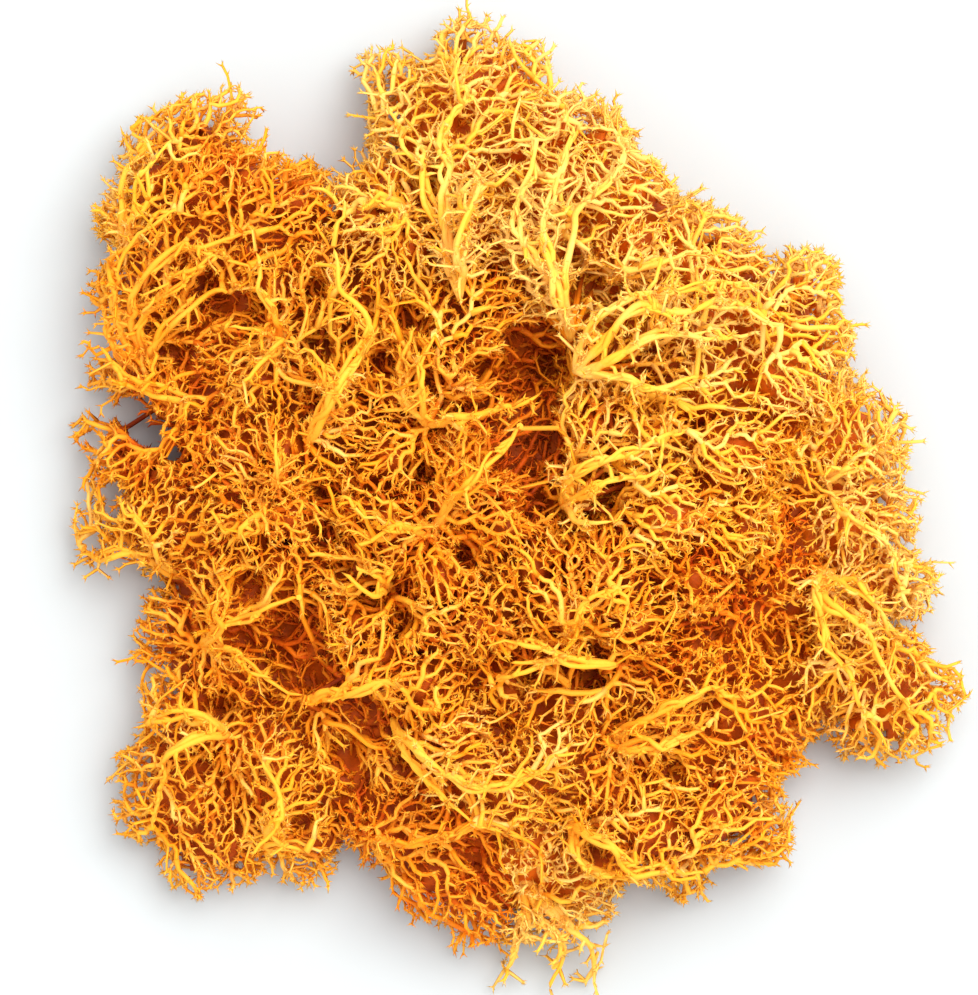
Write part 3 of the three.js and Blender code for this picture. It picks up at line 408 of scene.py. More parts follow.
# Openings that light falls through, as (x, y, radius)
openings = [
    (-44.8, 11, 2.3), (-42.6, 8.3, 2.6), (-48.7, 12.4, 1.5), (-48.7, 10.4, 1.4), (-49.4, 7.5, 1.4),
    (-47.4, 0.8, 1.5), (-47.3, -1.8, 1.4), (-50.4, -5.7, 1.2), (-39.4, 5.6, 1.3),
]

# A smooth wave through space between -1 and 1: the mean of three sines along askew directions
def waves(points, size, phase=0.0):
    turns = points * (2 * math.pi / size)
    x, y, z = turns.T
    return (
        np.sin(x + 0.7 * y + 1.3 * np.sin(0.6 * z + phase) + phase)
        + np.sin(0.9 * y - 0.5 * x + 1.1 * np.sin(0.8 * z - phase) + 2 * phase)
        + np.sin(z + 0.4 * x + 1.2 * np.sin(0.5 * y + 3 * phase))
    ) / 3


# Vectors over their own length
def unit(vectors):
    return vectors / np.maximum(np.linalg.norm(vectors, axis=-1, keepdims=True), tiny)


# The distance in plan of points from a place
def planGap(points, x, y):
    return np.hypot(points[:, 0] - x, points[:, 1] - y)


# A lattice of whole steps from the low corner up to or just past the high one
def latticeOf(low, high, step):
    counts = np.ceil((high - low) / step).astype(int) + 1
    return np.stack(np.meshgrid(*(np.arange(n) for n in counts), indexing="ij"), axis=-1) * step + low


# A greatest value that flows: the logarithm of the sum of powers, so that what nearly reaches the
# greatest adds to it
def flowing(values, blend):
    most = np.max(values, axis=0)
    return most + blend * np.log(sum(np.exp((value - most) / blend) for value in values))


# The number of the tuft that owns each point: the one with the head nearest in plan, by distance
# squared less the head's radius squared
def ownersOf(points):
    heads = [(index, head) for index, one in enumerate(tufts.values()) for head in one["heads"]]
    reach = [
        (points[:, 0] - x) ** 2 + (points[:, 1] - y) ** 2 - radius**2
        for _, (x, y, _, radius, _) in heads
    ]
    return np.array([index for index, _ in heads])[np.argmin(reach, axis=0)]


# What to change about the core, the hidden body under the twigs
core = {
    "cell": 1.2,  # the grid of its surface
    "inset": 2.8, "leastRadius": 0.6,  # how much smaller a dome is than its head, and the smallest dome
    "skirt": 2.0,  # how steeply the surface falls outside a dome
    "blend": 1.2,  # how far neighbouring domes flow together
    "fill": 7.0, "fillSlope": 1.2,  # how deep it lies where heads leave a gap, and how steeply it falls
    "gap": 6, "rim": 3,  # gaps this many cells wide are closed, and the fill ends this far inside
    "told": 12,  # the distance from the outline is told for this many cells
    "rimSlope": 1.5, "bed": 2.2,  # how steeply the fill rises from the outline, and from what height
    "rough": (0.9, 2.0),  # slow unevenness: amount and size
    "lumps": 0.4,  # how uneven it is from one corner of the grid to the next
    "lift": 5.0, "liftSlope": 1.3,  # how far its edge lies off the floor, and how fast that falls inwards
    "floor": 0.3, "thin": 0.7,  # how far it lies off the floor at least, and how thick it is at least
    "least": 1.0,  # where it would be lower than this, there is none
    "pocketRoom": 1.0, "pocketFloor": 1.5,  # how far it keeps from a pocket, and the height left under one
    "openingRoom": 0.8,  # how far it keeps from an opening
    "mapSides": 4,  # in the colour map it lies like a twig of this many sides
}


# The grid of the core's surface over the whole clump, as fields on its corners in plan: how high the
# surface is, how far inside the outline, how high the crowns are, and the underside. Each cell has
# the tuft that owns it. The height is the flowing greatest of the heads' domes, each smaller by the
# inset. Between heads it is filled up to cones that fall away from them, but no higher than a slope
# that rises from inside the outline. Pockets are cut out as half ellipsoids, and openings right
# through, where the height is -1.
def coreGrid(draw):
    cell = core["cell"]
    plan = latticeOf(lowCorner[:2], highCorner[:2], cell)
    counts = plan.shape[:2]
    flat = plan.reshape(-1, 2)
    domes, cones, rims = [], [], []
    for one in tufts.values():
        for x, y, top, radius, _ in one["heads"]:
            away = planGap(flat, x, y)
            inner = max(radius - core["inset"], core["leastRadius"])
            dome = np.sqrt(np.maximum(inner**2 - away**2, 0))
            domes.append(np.where(away < inner, top - radius + dome, core["skirt"] * (inner - away)))
            cones.append(top - core["fill"] - core["fillSlope"] * np.maximum(away - radius, 0))
            rims.append(radius - away)
    closed = (np.max(rims, axis=0) > -core["gap"] * cell / 2).reshape(counts)
    inwards = np.zeros(counts)
    for _ in range(core["told"]):
        inwards += closed
        wide = np.pad(closed, 1)
        closed = closed & wide[2:, 1:-1] & wide[:-2, 1:-1] & wide[1:-1, 2:] & wide[1:-1, :-2]
    inwards = (inwards.ravel() - core["gap"] / 2 - core["rim"]) * cell
    amount, size = core["rough"]
    rough = amount * waves(np.column_stack((flat, flat[:, 0])), size)
    rough += core["lumps"] * draw.uniform(-1, 1, len(flat))
    fill = np.minimum(np.max(cones, axis=0), core["rimSlope"] * inwards + core["bed"])
    fill = np.where(inwards > 0, np.maximum(fill, core["bed"]), -1) + rough * (inwards > 0)
    height = np.maximum(flowing(domes, core["blend"]) + rough, fill)
    crown = np.max(cones, axis=0) + core["fill"]
    for x, y, radius, depth in pockets:
        away = planGap(flat, x, y) / (radius + core["pocketRoom"])
        down = (depth + core["pocketRoom"]) * np.sqrt(np.maximum(1 - away**2, 0))
        cut = np.maximum(crown - down, core["pocketFloor"])
        height = np.where(away < 1, np.minimum(height, cut), height)
    for x, y, radius in openings:
        height[planGap(flat, x, y) < radius + core["openingRoom"]] = -1
    under = core["floor"] + np.maximum(core["lift"] - core["liftSlope"] * np.maximum(inwards, 0), 0)
    under = np.minimum(under, np.maximum(height - core["thin"], core["floor"]))
    middles = plan[:-1, :-1] + cell / 2
    owner = ownersOf(middles.reshape(-1, 2)).reshape(middles.shape[:2])
    fields = {"height": height, "inwards": inwards, "crown": crown, "under": under}
    return {"plan": plan, "owner": owner, **{name: field.reshape(counts) for name, field in fields.items()}}


# The values of one of the grid's fields at points: those of the nearest corner
def sampled(grid, name, points):
    field = grid[name]
    at = np.round((points[:, :2] - grid["plan"][0, 0]) / core["cell"]).astype(int)
    at = np.clip(at, 0, np.array(field.shape) - 1)
    return field[at[:, 0], at[:, 1]]


# True for points in a pocket, which is half an ellipsoid that opens at the crowns, or in an
# opening, which goes right through
def inHollow(points, grid):
    down = np.maximum(sampled(grid, "crown", points) - points[:, 2], 0)
    isIn = np.zeros(len(points), bool)
    for x, y, radius, depth in pockets:
        isIn |= (planGap(points, x, y) / radius) ** 2 + (down / depth) ** 2 < 1
    for x, y, radius in openings:
        isIn |= planGap(points, x, y) < radius
    return isIn


# What to change about the places that twigs grow to
growth = {
    "pitch": 0.97,  # mean distance between places
    "stray": 0.5,  # how far a place may stray, in pitches
    "blend": 0.8,  # how far neighbouring heads flow together
    "overCore": 3.0,  # how far over the core the gaps between heads are filled
    "keep": (1.0, 0.92, 0.62, 0.36),  # the share of places kept, layer by layer from the air
    "rimKeep": 0.62, "rimWidth": 4.5,  # the share kept at the outline, and how wide the thinner rim is
    "thinFrom": 0.62, "thinSize": 7.0,  # thin spots: the height of a wave from which they lie, and its size
    "thinLayers": 3, "thinKeep": 0.12,  # how many layers deep they go, and the share kept in them
    "floor": 0.05, "floorGap": 0.35, "lowest": 0.75,  # least height of a corner, of a twig and of a place
    "tangle": (1.6, 5.0),  # how far twigs of neighbouring tufts mingle, and the size of that wave
    "tanglePhases": (4.0, 5.0),  # its phases, across and up
    "seed": 11,
}


# How deep points lie in a head: its radius less their distance from its upright axis, which ends a
# radius short of the crown and of the underside
def depthInHead(points, head):
    x, y, top, radius, foot = head
    foot = max(foot, growth["floorGap"])
    ends = sorted((foot + radius, top - radius))
    if foot + radius > top - radius:
        ends = [(foot + top) / 2] * 2
    away = points - np.array((x, y, 0.0))
    away[:, 2] = points[:, 2] - np.clip(points[:, 2], *ends)
    return radius - np.linalg.norm(away, axis=1)


# The layer that each cell of a block lies in: 1 for the filled cells at the air, 2 for those behind
# them and so on. The floor doesn't count as air.
def layersOf(filled, count):
    layer = filled.astype(int)
    rest = filled
    for _ in range(count):
        wide = np.pad(rest, ((1, 1), (1, 1), (0, 1)))
        wide = np.concatenate((wide[:, :, :1], wide), axis=2)
        rest = (
            rest
            & wide[2:, 1:-1, 1:-1] & wide[:-2, 1:-1, 1:-1]
            & wide[1:-1, 2:, 1:-1] & wide[1:-1, :-2, 1:-1]
            & wide[1:-1, 1:-1, 2:] & wide[1:-1, 1:-1, :-2]
        )
        layer += rest
    return layer


# The places that twigs grow to, and their layers: a lattice over the whole clump, of which a drawn
# share stays, layer by layer, inside the heads and just over the core, each place moved a little by
# a draw. Fewer stay at the outline and in thin spots, and none in hollows.
def placesToGrow(grid, draw):
    low = np.array((*lowCorner[:2], growth["lowest"]))
    block = latticeOf(low, highCorner, growth["pitch"])
    points = block.reshape(-1, 3)
    depths = [depthInHead(points, head) for one in tufts.values() for head in one["heads"]]
    over = sampled(grid, "height", points)
    filled = flowing(depths, growth["blend"]) > 0
    filled |= (over > core["least"]) & (points[:, 2] < over + growth["overCore"])
    filled &= ~inHollow(points, grid)
    layer = layersOf(filled.reshape(block.shape[:3]), len(growth["keep"])).ravel()
    chance = np.array((0.0, *growth["keep"], 0.0))[layer]
    thin = waves(points, growth["thinSize"]) > growth["thinFrom"]
    chance[thin & (layer > 0) & (layer <= growth["thinLayers"])] = growth["thinKeep"]
    rim = np.clip(sampled(grid, "inwards", points) / growth["rimWidth"], 0, 1)
    kept = draw.random(len(points)) < chance * (growth["rimKeep"] + (1 - growth["rimKeep"]) * rim)
    moved = draw.uniform(-1, 1, (kept.sum(), 3)) * growth["stray"] * growth["pitch"]
    return points[kept] + moved, layer[kept]


# What to change about the bare stems and the spines
stems = {
    "step": 0.9,  # distance between the points of a stem
    "strands": 3,  # a bare stem is this many strands side by side
    "shorter": 0.22, "leastPoints": 4,  # how much shorter each next strand is, and its fewest points
    "apart": 1.2,  # how far strands part from the stem's line
    "sway": (1.4, 9.0, 0.5), "kink": (0.25, 3.1, 0.3),  # slow and quick bends: share of that, size, law
    "phases": 6.0,  # bends start anywhere in this many radians
    "root": 0.52, "tip": 0.2, "taper": 0.8,  # a strand's radius at the root and tip, and its law
    "foot": (0.6, 2.5),  # it starts at this share of its width, and gains this much in its length
    "vary": (0.75, 1.15),  # how much thicker or thinner a whole strand may be
    "knobs": (0.2, 2.6),  # how uneven a strand is: amount and size
    "sides": 7,
    "rungs": 0.3, "rungReach": (0.9, 2.6),  # share of points joined to another strand, and how far
    "rungWidths": (0.34, 0.24, 0.3), "rungBend": 0.25, "rungSides": 5,
    "shoots": 1,  # places for side twigs to each point of a strand
    "shootFrom": 1.0, "shootReach": (0.8, 3.2),  # from what age, and how far off
    "pace": 0.3, "spinePace": 0.6,  # how fast a strand and a spine grow old along their length
    "spineUnder": (0.9, 1.0),  # how far under a crown a spine ends: share of the radius, and more
    "overFoot": 1.0,  # how far over a head's underside it ends at least
    "sag": 2.0, "leastKnee": 2.0,  # how far its knee hangs under its ends, and the knee's least height
    "clear": 0.6,  # how far it keeps from an opening
}


# A smooth curve through points, as many steps a side as asked: cubic arcs whose tangent at a point
# runs parallel to the line between its two neighbours
def smoothCurve(points, spacing):
    points = np.asarray(points, float)
    ends = np.vstack((2 * points[0] - points[1], points, 2 * points[-1] - points[-2]))
    parts = []
    for before, start, end, after in zip(ends, ends[1:], ends[2:], ends[3:]):
        steps = max(2, round(np.linalg.norm(end - start) / spacing))
        t = np.linspace(0, 1, steps, endpoint=False)[:, None]
        parts.append(
            start
            + t * (end - before) / 2
            + t**2 * (2 * before - 5 * start + 4 * end - after) / 2
            + t**3 * (3 * start - before - 3 * end + after) / 2
        )
    return np.vstack((*parts, points[-1:]))


# The strands of a tuft's bare stems: each stem's smooth curve, moved aside by slow and quick waves,
# each times a power of the share of the way along, with every next strand a little shorter
def strandsOf(one, draw):
    swayBy, swaySize, swayLaw = stems["sway"]
    kinkBy, kinkSize, kinkLaw = stems["kink"]
    strands = []
    for stem in one["stems"]:
        path = smoothCurve([one["root"], *stem], stems["step"])
        share = np.linspace(0, 1, len(path))[:, None]
        for number in range(stems["strands"]):
            phases = draw.uniform(0, stems["phases"], 3)
            sway = np.stack([waves(path, swaySize, phase) for phase in phases], axis=-1)
            kinks = np.stack([waves(path, kinkSize, phase) for phase in phases], axis=-1)
            bends = sway * share**swayLaw * swayBy + kinkBy * kinks * share**kinkLaw
            own = path + stems["apart"] * bends
            keep = max(stems["leastPoints"], round(len(own) * (1 - stems["shorter"] * number)))
            strands.append(own[:keep])
    return strands


# The spines of a tuft's heads: smooth curves from the root over a hanging knee to a point under each
# crown, pushed out of the openings
def spinesOf(one):
    root = np.array(one["root"], float)
    share, more = stems["spineUnder"]
    spines = []
    for x, y, top, radius, foot in one["heads"]:
        end = np.array((x, y, max(top - share * radius - more, foot + stems["overFoot"])))
        knee = (root + end) / 2
        knee[2] = max(min(root[2], end[2]) - stems["sag"], stems["leastKnee"])
        spine = smoothCurve([root, knee, end], 2 * stems["step"])
        for cx, cy, wide in openings:
            aside = spine[:, :2] - (cx, cy)
            away = np.linalg.norm(aside, axis=1, keepdims=True)
            spine[:, :2] += unit(aside) * np.maximum(wide + stems["clear"] - away, 0)
        spines.append(spine)
    return spines


# A tuft's skeleton as points, with the number of the point before each, the number of its line, and
# its age, which grows along each line by its pace. The root comes first, then the strands and spines.
def skeletonOf(one, draw):
    lines = [(path, stems["pace"]) for path in strandsOf(one, draw)]
    lines += [(path, stems["spinePace"]) for path in spinesOf(one)]
    points, before, line, age = [np.array([one["root"]], float)], [[0]], [[-1]], [[0.0]]
    count = 1
    for index, (path, pace) in enumerate(lines):
        n = len(path) - 1
        points.append(path[1:])
        before.append(np.r_[0, np.arange(count, count + n - 1)])
        line.append(np.full(n, index))
        age.append(pace * np.cumsum(np.linalg.norm(np.diff(path, axis=0), axis=1)))
        count += n
    return np.vstack(points), np.concatenate(before), np.concatenate(line), np.concatenate(age)


# Rungs between the strands of a tuft: a drawn share of their points is joined to a drawn point of
# another strand within reach
def rungsOf(skeleton, line, strandCount, draw):
    bare = np.flatnonzero((line >= 0) & (line < strandCount))
    if not len(bare):
        return bare, bare
    gaps = np.linalg.norm(skeleton[bare][:, None] - skeleton[bare], axis=2)
    nearest, farthest = stems["rungReach"]
    fits = (gaps > nearest) & (gaps < farthest) & (line[bare][:, None] != line[bare])
    likely = fits * draw.random(gaps.shape)
    other = likely.argmax(1)
    chosen = (likely.max(1) > 0) & (draw.random(len(bare)) < stems["rungs"])
    return bare[chosen], bare[other[chosen]]


# Places for side twigs round the outer part of a tuft's strands: a drawn way off from each point, as
# far as drawn
def shootsOf(skeleton, line, age, strandCount, draw):
    bare = np.flatnonzero((line >= 0) & (line < strandCount) & (age > stems["shootFrom"]))
    index = np.repeat(bare, stems["shoots"])
    way = unit(draw.normal(size=(len(index), 3)))
    return skeleton[index] + way * draw.uniform(*stems["shootReach"], (len(index), 1))


# What to change about the twigs
twigs = {
    "lean": 0.1,  # how much a twig prefers to run outwards
    "whim": 0.6,  # how much it strays from its nearest way, as a share of its length
    "closest": 0.001, "younger": 0.2,  # least distance reckoned with, and how much younger its foot is
    "straighten": (0.3, 0.15),  # how far a place moves to the middle of its twig's neighbours, each time
    "least": 0.135, "law": 0.2,  # radius of a tip, and the power of a branch's tips by which it grows
    "most": 0.32,  # radius of the thickest branch
    "prongs": (5, 4, 2, 0),  # prongs at the end of a twig, layer by layer
    "barbs": (1.7, 1.1, 0.4, 0),  # prongs along a twig, to each place, layer by layer
    "prong": (0.6, 1.15), "prongFoot": 0.155,  # their length, and the radius that they start with
    "spread": 1.05, "spreadVary": (0.7, 1.3),  # how far they lean away from the twig, and how unevenly
    "wisps": 0.1,  # the share of the outermost tips that reach farther
    "wisp": (1.0, 2.6), "wispBend": 0.35,  # how far, and how bent
    "links": 0.55, "linkReach": 1.5,  # share of places joined across to another twig, and how far
    "linkWidth": 0.8, "linkPast": 0.15,  # its width, and how far it runs on, as shares of the twigs'
    "vary": (0.8, 1.3),  # how much thicker or thinner a whole twig may be
    "web": 1.45,  # how much wider a twig is where it leaves another
    "sides": (3, 5), "stout": 0.36,  # sides of a thin and of a thick branch, and the radius between them
}


# The number of the point that each of a tuft's places grows from: the nearest one that is younger,
# where a place is as old as the nearest point of the skeleton and its distance from there. A way
# that doesn't run outwards counts as longer, and so does each way by a draw.
def growTwigs(points, skeleton, age, draw):
    points, skeleton = points.astype(np.float32), skeleton.astype(np.float32)
    everything = np.vstack((skeleton, points))
    square = (everything**2).sum(1)
    gaps = square[len(skeleton):, None] + square - 2 * points @ everything.T
    gaps = np.sqrt(np.maximum(gaps, twigs["closest"] ** 2))
    old = gaps[:, :len(skeleton)] + age
    source = old.argmin(1)
    outwards = unit(points - 0.5 * (skeleton[source] + skeleton[0]))
    along = ((points * outwards).sum(1)[:, None] - outwards @ everything.T) / gaps
    own = old.min(1)
    cost = gaps * (1 + twigs["lean"] * (1 - along))
    cost *= 1 + twigs["whim"] * draw.random(cost.shape, dtype=np.float32)
    cost[np.r_[age, own] > own[:, None] - twigs["younger"]] = np.inf
    return cost.argmin(1)


# Places moved towards the middle between the point they grew from and the mean of what grew from
# them, so that twigs run straighter from fork to fork. Tips stay.
def straightened(points, skeleton, parent):
    first = len(skeleton)
    isOwn = parent >= first
    number = np.bincount(parent[isOwn] - first, minlength=len(points))
    for share in twigs["straighten"]:
        grown = np.zeros_like(points)
        np.add.at(grown, parent[isOwn] - first, points[isOwn])
        middle = (np.vstack((skeleton, points))[parent] + grown / np.maximum(number, 1)[:, None]) / 2
        points = np.where((number > 0)[:, None], points + share * (middle - points), points)
    return points


# Wisps: a drawn share of the outermost tips goes on for a few millimetres in two bent steps. Gives
# their points, and the parents and layers of all places with them.
def growWisps(points, skeleton, parent, layer, draw):
    first = len(skeleton)
    isTip = np.bincount(parent, minlength=first + len(points))[first:] == 0
    chosen = np.flatnonzero(isTip & (layer == 1) & (draw.random(len(points)) < twigs["wisps"]))
    ahead = unit(points[chosen] - np.vstack((skeleton, points))[parent[chosen]])
    length = draw.uniform(*twigs["wisp"], (len(chosen), 1)) / 2
    middle = points[chosen] + length * (ahead + twigs["wispBend"] * draw.normal(size=ahead.shape))
    end = middle + length * (ahead + twigs["wispBend"] * draw.normal(size=ahead.shape))
    count = first + len(points)
    parents = np.r_[parent, first + chosen, count + np.arange(len(chosen))]
    return np.vstack((middle, end)), parents, np.r_[layer, np.ones(2 * len(chosen), int)]


# The ends of prongs on twigs, and the number of the place that each grows from: its way is the
# twig's own and a drawn direction square to it
def growProngs(points, ahead, number, draw):
    index = np.repeat(np.arange(len(points)), number)
    ahead = ahead[index]
    aside = draw.normal(size=(len(index), 3))
    aside = unit(aside - ahead * (aside * ahead).sum(1, keepdims=True))
    way = unit(ahead + aside * twigs["spread"] * draw.uniform(*twigs["spreadVary"], (len(index), 1)))
    return points[index] + way * draw.uniform(*twigs["prong"], (len(index), 1)), index


# Links that make a net of the twigs: a drawn share of the places is joined to the nearest place
# that is neither the one it grew from nor one that grew from it
def linksOf(points, parent, first, draw):
    chosen = np.flatnonzero(draw.random(len(points)) < twigs["links"])
    gaps = np.linalg.norm(points[chosen][:, None] - points[None], axis=2)
    gaps[np.arange(len(chosen)), chosen] = np.inf
    gaps[(parent[chosen] - first)[:, None] == np.arange(len(points))] = np.inf
    gaps[parent[None] - first == chosen[:, None]] = np.inf
    fits = gaps.min(1) < twigs["linkReach"]
    return np.array((chosen[fits], gaps.argmin(1)[fits]))


# The number of tips that each point carries, counted from the outermost points inwards
def tipsCarried(before):
    steps = np.zeros(len(before), int)
    at = np.arange(len(before))
    while True:
        moved = before[at] != at
        if not moved.any():
            break
        steps += moved
        at = before[at]
    carried = (np.bincount(before[1:], minlength=len(before)) == 0).astype(float)
    for step in range(steps.max(), 0, -1):
        now = np.flatnonzero(steps == step)
        np.add.at(carried, before[now], carried[now])
    return carried


# Chains of points from fork to tip, as rows that end in -1. At each fork the branch that carries
# most goes on, and each other one starts a chain of its own there, so that a chain is one twig.
def chainsOf(before, carried, first):
    order = np.lexsort((carried, before))
    order = order[order >= first]
    ahead = np.full(len(before), -1)
    ahead[before[order]] = order  # the last one written carries most
    ahead[:first] = -1
    own = np.arange(first, len(before))
    starts = own[(before[own] < first) | (ahead[before[own]] != own)]
    steps = [before[starts], starts]
    while (steps[-1] >= 0).any():
        steps.append(np.where(steps[-1] >= 0, ahead[steps[-1]], -1))
    return np.stack(steps[:-1], axis=1)


# Twigs along many paths of the same number of points: a ring of corners round each point but the
# last, square to the path, each ring turned on from the one before without twisting, a lid over the
# foot and a peak at the end. Gives points, the faces of each kind, and the tone of every point.
def tubes(paths, radii, tone, sides):
    n, k, _ = paths.shape
    along = unit(np.gradient(paths, axis=1))
    across = np.empty_like(along)
    helper = np.eye(3)[np.abs(along[:, 0]).argmin(1)]
    for step in range(k):
        helper = unit(helper - along[:, step] * (helper * along[:, step]).sum(1, keepdims=True))
        across[:, step] = helper
    other = np.cross(along, across)
    angle = (np.arange(sides) * 2 * math.pi / sides)[:, None]
    ring = across[:, :, None] * np.cos(angle) + other[:, :, None] * np.sin(angle)
    rings = (paths[:, :, None] + ring * radii[:, :, None, None])[:, :-1].reshape(n, -1, 3)
    points = np.concatenate((rings, paths[:, -1:]), axis=1).reshape(-1, 3)
    size = (k - 1) * sides + 1
    start = (np.arange(n) * size)[:, None, None]
    side = np.arange(sides)
    after = (side + 1) % sides
    row = start + (np.arange(k - 2) * sides)[:, None]
    quads = np.stack((row + side, row + after, row + after + sides, row + side + sides), axis=-1)
    last = start[:, 0] + size - 1 - sides
    peaks = np.stack((last + side, last + after, np.broadcast_to(last + sides, (n, sides))), axis=-1)
    ringTone = np.broadcast_to(tone[:, :-1, None], (n, k - 1, sides, 2)).reshape(n, -1, 2)
    tone = np.concatenate((ringTone, tone[:, -1:]), axis=1).reshape(-1, 2)
    return points, tone, {
        "side": quads.reshape(-1, 4), "peak": peaks.reshape(-1, 3), "lid": start[:, 0] + side[::-1],
    }


# What to change about the map that a piece's colours are read from
mapping = {
    "fill": 0.9, "edge": 0.02,  # the share of the map that the tones take, and where it begins
    "spread": 0.05,  # how far a twig's faces lie apart in it
    "twig": 0.4, "peak": 0.8,  # the width of a face there, in spreads
    "lid": 3,  # a lid is a circle there, this many times smaller than a spread
}


# The corners' places in the colour map: the tone, moved on a little along and round the twig so
# that every face has some width there
def mapPlaces(faces, tone, sides, kind):
    side = np.arange(len(faces)) % sides
    if kind == "lid":
        turn = np.arange(faces.shape[1]) * 2 * math.pi / faces.shape[1]
        circle = np.stack((np.cos(turn), np.sin(turn)), axis=-1) / mapping["lid"]
        move = np.broadcast_to(circle, (*faces.shape, 2))
    elif kind == "peak":
        about = np.stack((side, side + 1, side + 0.5), axis=1) / sides
        move = np.stack((np.broadcast_to((0.0, 0.0, mapping["peak"]), about.shape), about), axis=-1)
    else:
        about = np.stack((side, side + 1, side + 1, side), axis=1) / sides
        onward = (0.0, 0.0, mapping["twig"], mapping["twig"])
        move = np.stack((np.broadcast_to(onward, about.shape), about), axis=-1)
    place = np.clip(tone[faces], 0, 1) * mapping["fill"] + mapping["edge"] + move * mapping["spread"]
    return place.reshape(-1, 2)


# A mesh from batches of faces: points, faces of any size, and their corners in the map
class Batch:
    def __init__(self):
        self.points, self.corners, self.sizes, self.map, self.isRound = [], [], [], [], []
        self.count = 0

    def add(self, points, tone, sides, faceSets):
        for kind, faces in faceSets.items():
            self.corners.append((faces + self.count).ravel())
            self.sizes.append(np.full(len(faces), faces.shape[1]))
            self.map.append(mapPlaces(faces, tone, sides, kind))
            self.isRound.append(np.full(len(faces), kind != "lid"))
        self.points.append(points)
        self.count += len(points)

    def addTubes(self, paths, radii, tone, sides):
        points, tone, faceSets = tubes(paths, radii, tone, sides)
        self.add(points, tone, sides, faceSets)

    # A face of n corners counts as n - 2 triangles
    def triangles(self):
        return int(sum((sizes - 2).sum() for sizes in self.sizes))

    # The mesh in metres, no corner of it under the floor, as an object at the origin
    def toPiece(self, name, material):
        mesh = bpy.data.meshes.new(name)
        corners, sizes = np.concatenate(self.corners), np.concatenate(self.sizes)
        points = np.vstack(self.points)
        points[:, 2] = np.maximum(points[:, 2], growth["floor"])
        mesh.vertices.add(self.count)
        mesh.vertices.foreach_set("co", (points * mm).astype(np.float32).ravel())
        mesh.loops.add(len(corners))
        mesh.loops.foreach_set("vertex_index", corners.astype(np.int32))
        mesh.polygons.add(len(sizes))
        mesh.polygons.foreach_set("loop_start", np.r_[0, np.cumsum(sizes)[:-1]].astype(np.int32))
        mesh.polygons.foreach_set("use_smooth", np.concatenate(self.isRound))
        layer = mesh.uv_layers.new(name="OFBake")
        layer.uv.foreach_set("vector", np.vstack(self.map).astype(np.float32).ravel())
        mesh.materials.append(material)
        mesh.update(calc_edges=True)
        mesh.validate()
        piece = bpy.data.objects.new(name, mesh)
        bpy.context.scene.collection.objects.link(piece)
        return piece


# What to change about the colours. A tone is a pair: how pale, and how yellow rather than red.
tones = {
    "pale": (0.38, 0.47),  # of a twig at the air: least, and what the tuft's own tone adds
    "barePale": (0.5, 0.34),  # the same for a bare stem
    "stout": 0.12, "stoutFrom": 0.5,  # how much paler a thick branch is, all of it from this radius
    "yellow": (0.12, 0.8),  # least, and what the tuft's own tone adds
    "layerShade": (0.0, 0.06, 0.12, 0.17),  # painted shade: how much darker each layer is than the outermost
    "redder": 4.6,  # how much redder that painted shade makes a layer, as a multiple of how much darker
    "deep": (0.36, 0.4),  # painted shade: how much darker and redder twigs are far under the crowns
    "deepFrom": 2.0, "deepBy": 7.0, "deepRim": 4.0,  # that painted shade under the crowns: from and over what depth, and how far from the rim
    "shadow": (1.4, 0.6),  # how strongly both painted shades tell in a dark tuft, and how much less in a pale one
    "mottle": 0.34,  # how far the tones of neighbouring twigs may lie apart
    "spine": 0.25,  # how pale the hidden spines are, kept dark as painted shade of the inside
    "core": (0.02, 0.16), "coreYellow": 0.15,  # how pale and how yellow the core is; its dark tone is painted shade of the deep inside
    "corePaler": (0.25, 0.7),  # how much less of that painted shade it has, that is how much paler it is, for as much as a tuft's tone is over this
    "patches": (0.12, 7.5, 1.0),  # slow change of paleness: amount, size and phase
    "drift": (0.16, 15.0, 2.0),  # slow change between yellow and red over the clump, likewise
}


# How pale and how yellow points are: a level of their own, slow patches, and a drift over the clump
def toneAt(points, pale, tuftTone):
    amount, size, phase = tones["patches"]
    drift, far, driftPhase = tones["drift"]
    base, gain = tones["yellow"]
    yellow = base + gain * tuftTone + drift * waves(points, far, driftPhase)
    return np.stack((pale + amount * waves(points, size, phase), yellow), axis=-1)


# The tone of a tuft's bare stems at points
def bareToneAt(points, tuftTone):
    least, gain = tones["barePale"]
    return toneAt(points, np.full(len(points), least + gain * tuftTone), tuftTone)


# The tone of a tuft's twigs at points: paler where they are thick, and darker and redder, as painted shade,
# by layer and by the share of the depth under the crowns round them, which fades out at the outline
def twigToneAt(points, layer, radius, first, grid, tuftTone):
    least, gain = tones["pale"]
    strong, less = tones["shadow"]
    shadow = strong - less * tuftTone
    shade = np.array((0.0, *tones["layerShade"])) * shadow
    thick = np.minimum(radius / tones["stoutFrom"], 1)
    pale = least + gain * tuftTone - shade[layer] + tones["stout"] * thick
    # The hidden spines get a dark tone, painted shade of the inside
    pale[:first] = tones["spine"]
    tone = toneAt(points, pale, tuftTone)
    # Painted shade: a deeper layer is redder as well as darker
    tone[:, 1] -= tones["redder"] * shade[layer]
    # Painted shade: twigs darker and redder the deeper they lie under the crowns round them
    down = sampled(grid, "crown", points) - points[:, 2] - tones["deepFrom"]
    inside = np.clip(sampled(grid, "inwards", points) / tones["deepRim"], 0, 1)
    deep = np.clip(down / tones["deepBy"], 0, 1) * inside
    return tone - deep[:, None] * tones["deep"] * shadow


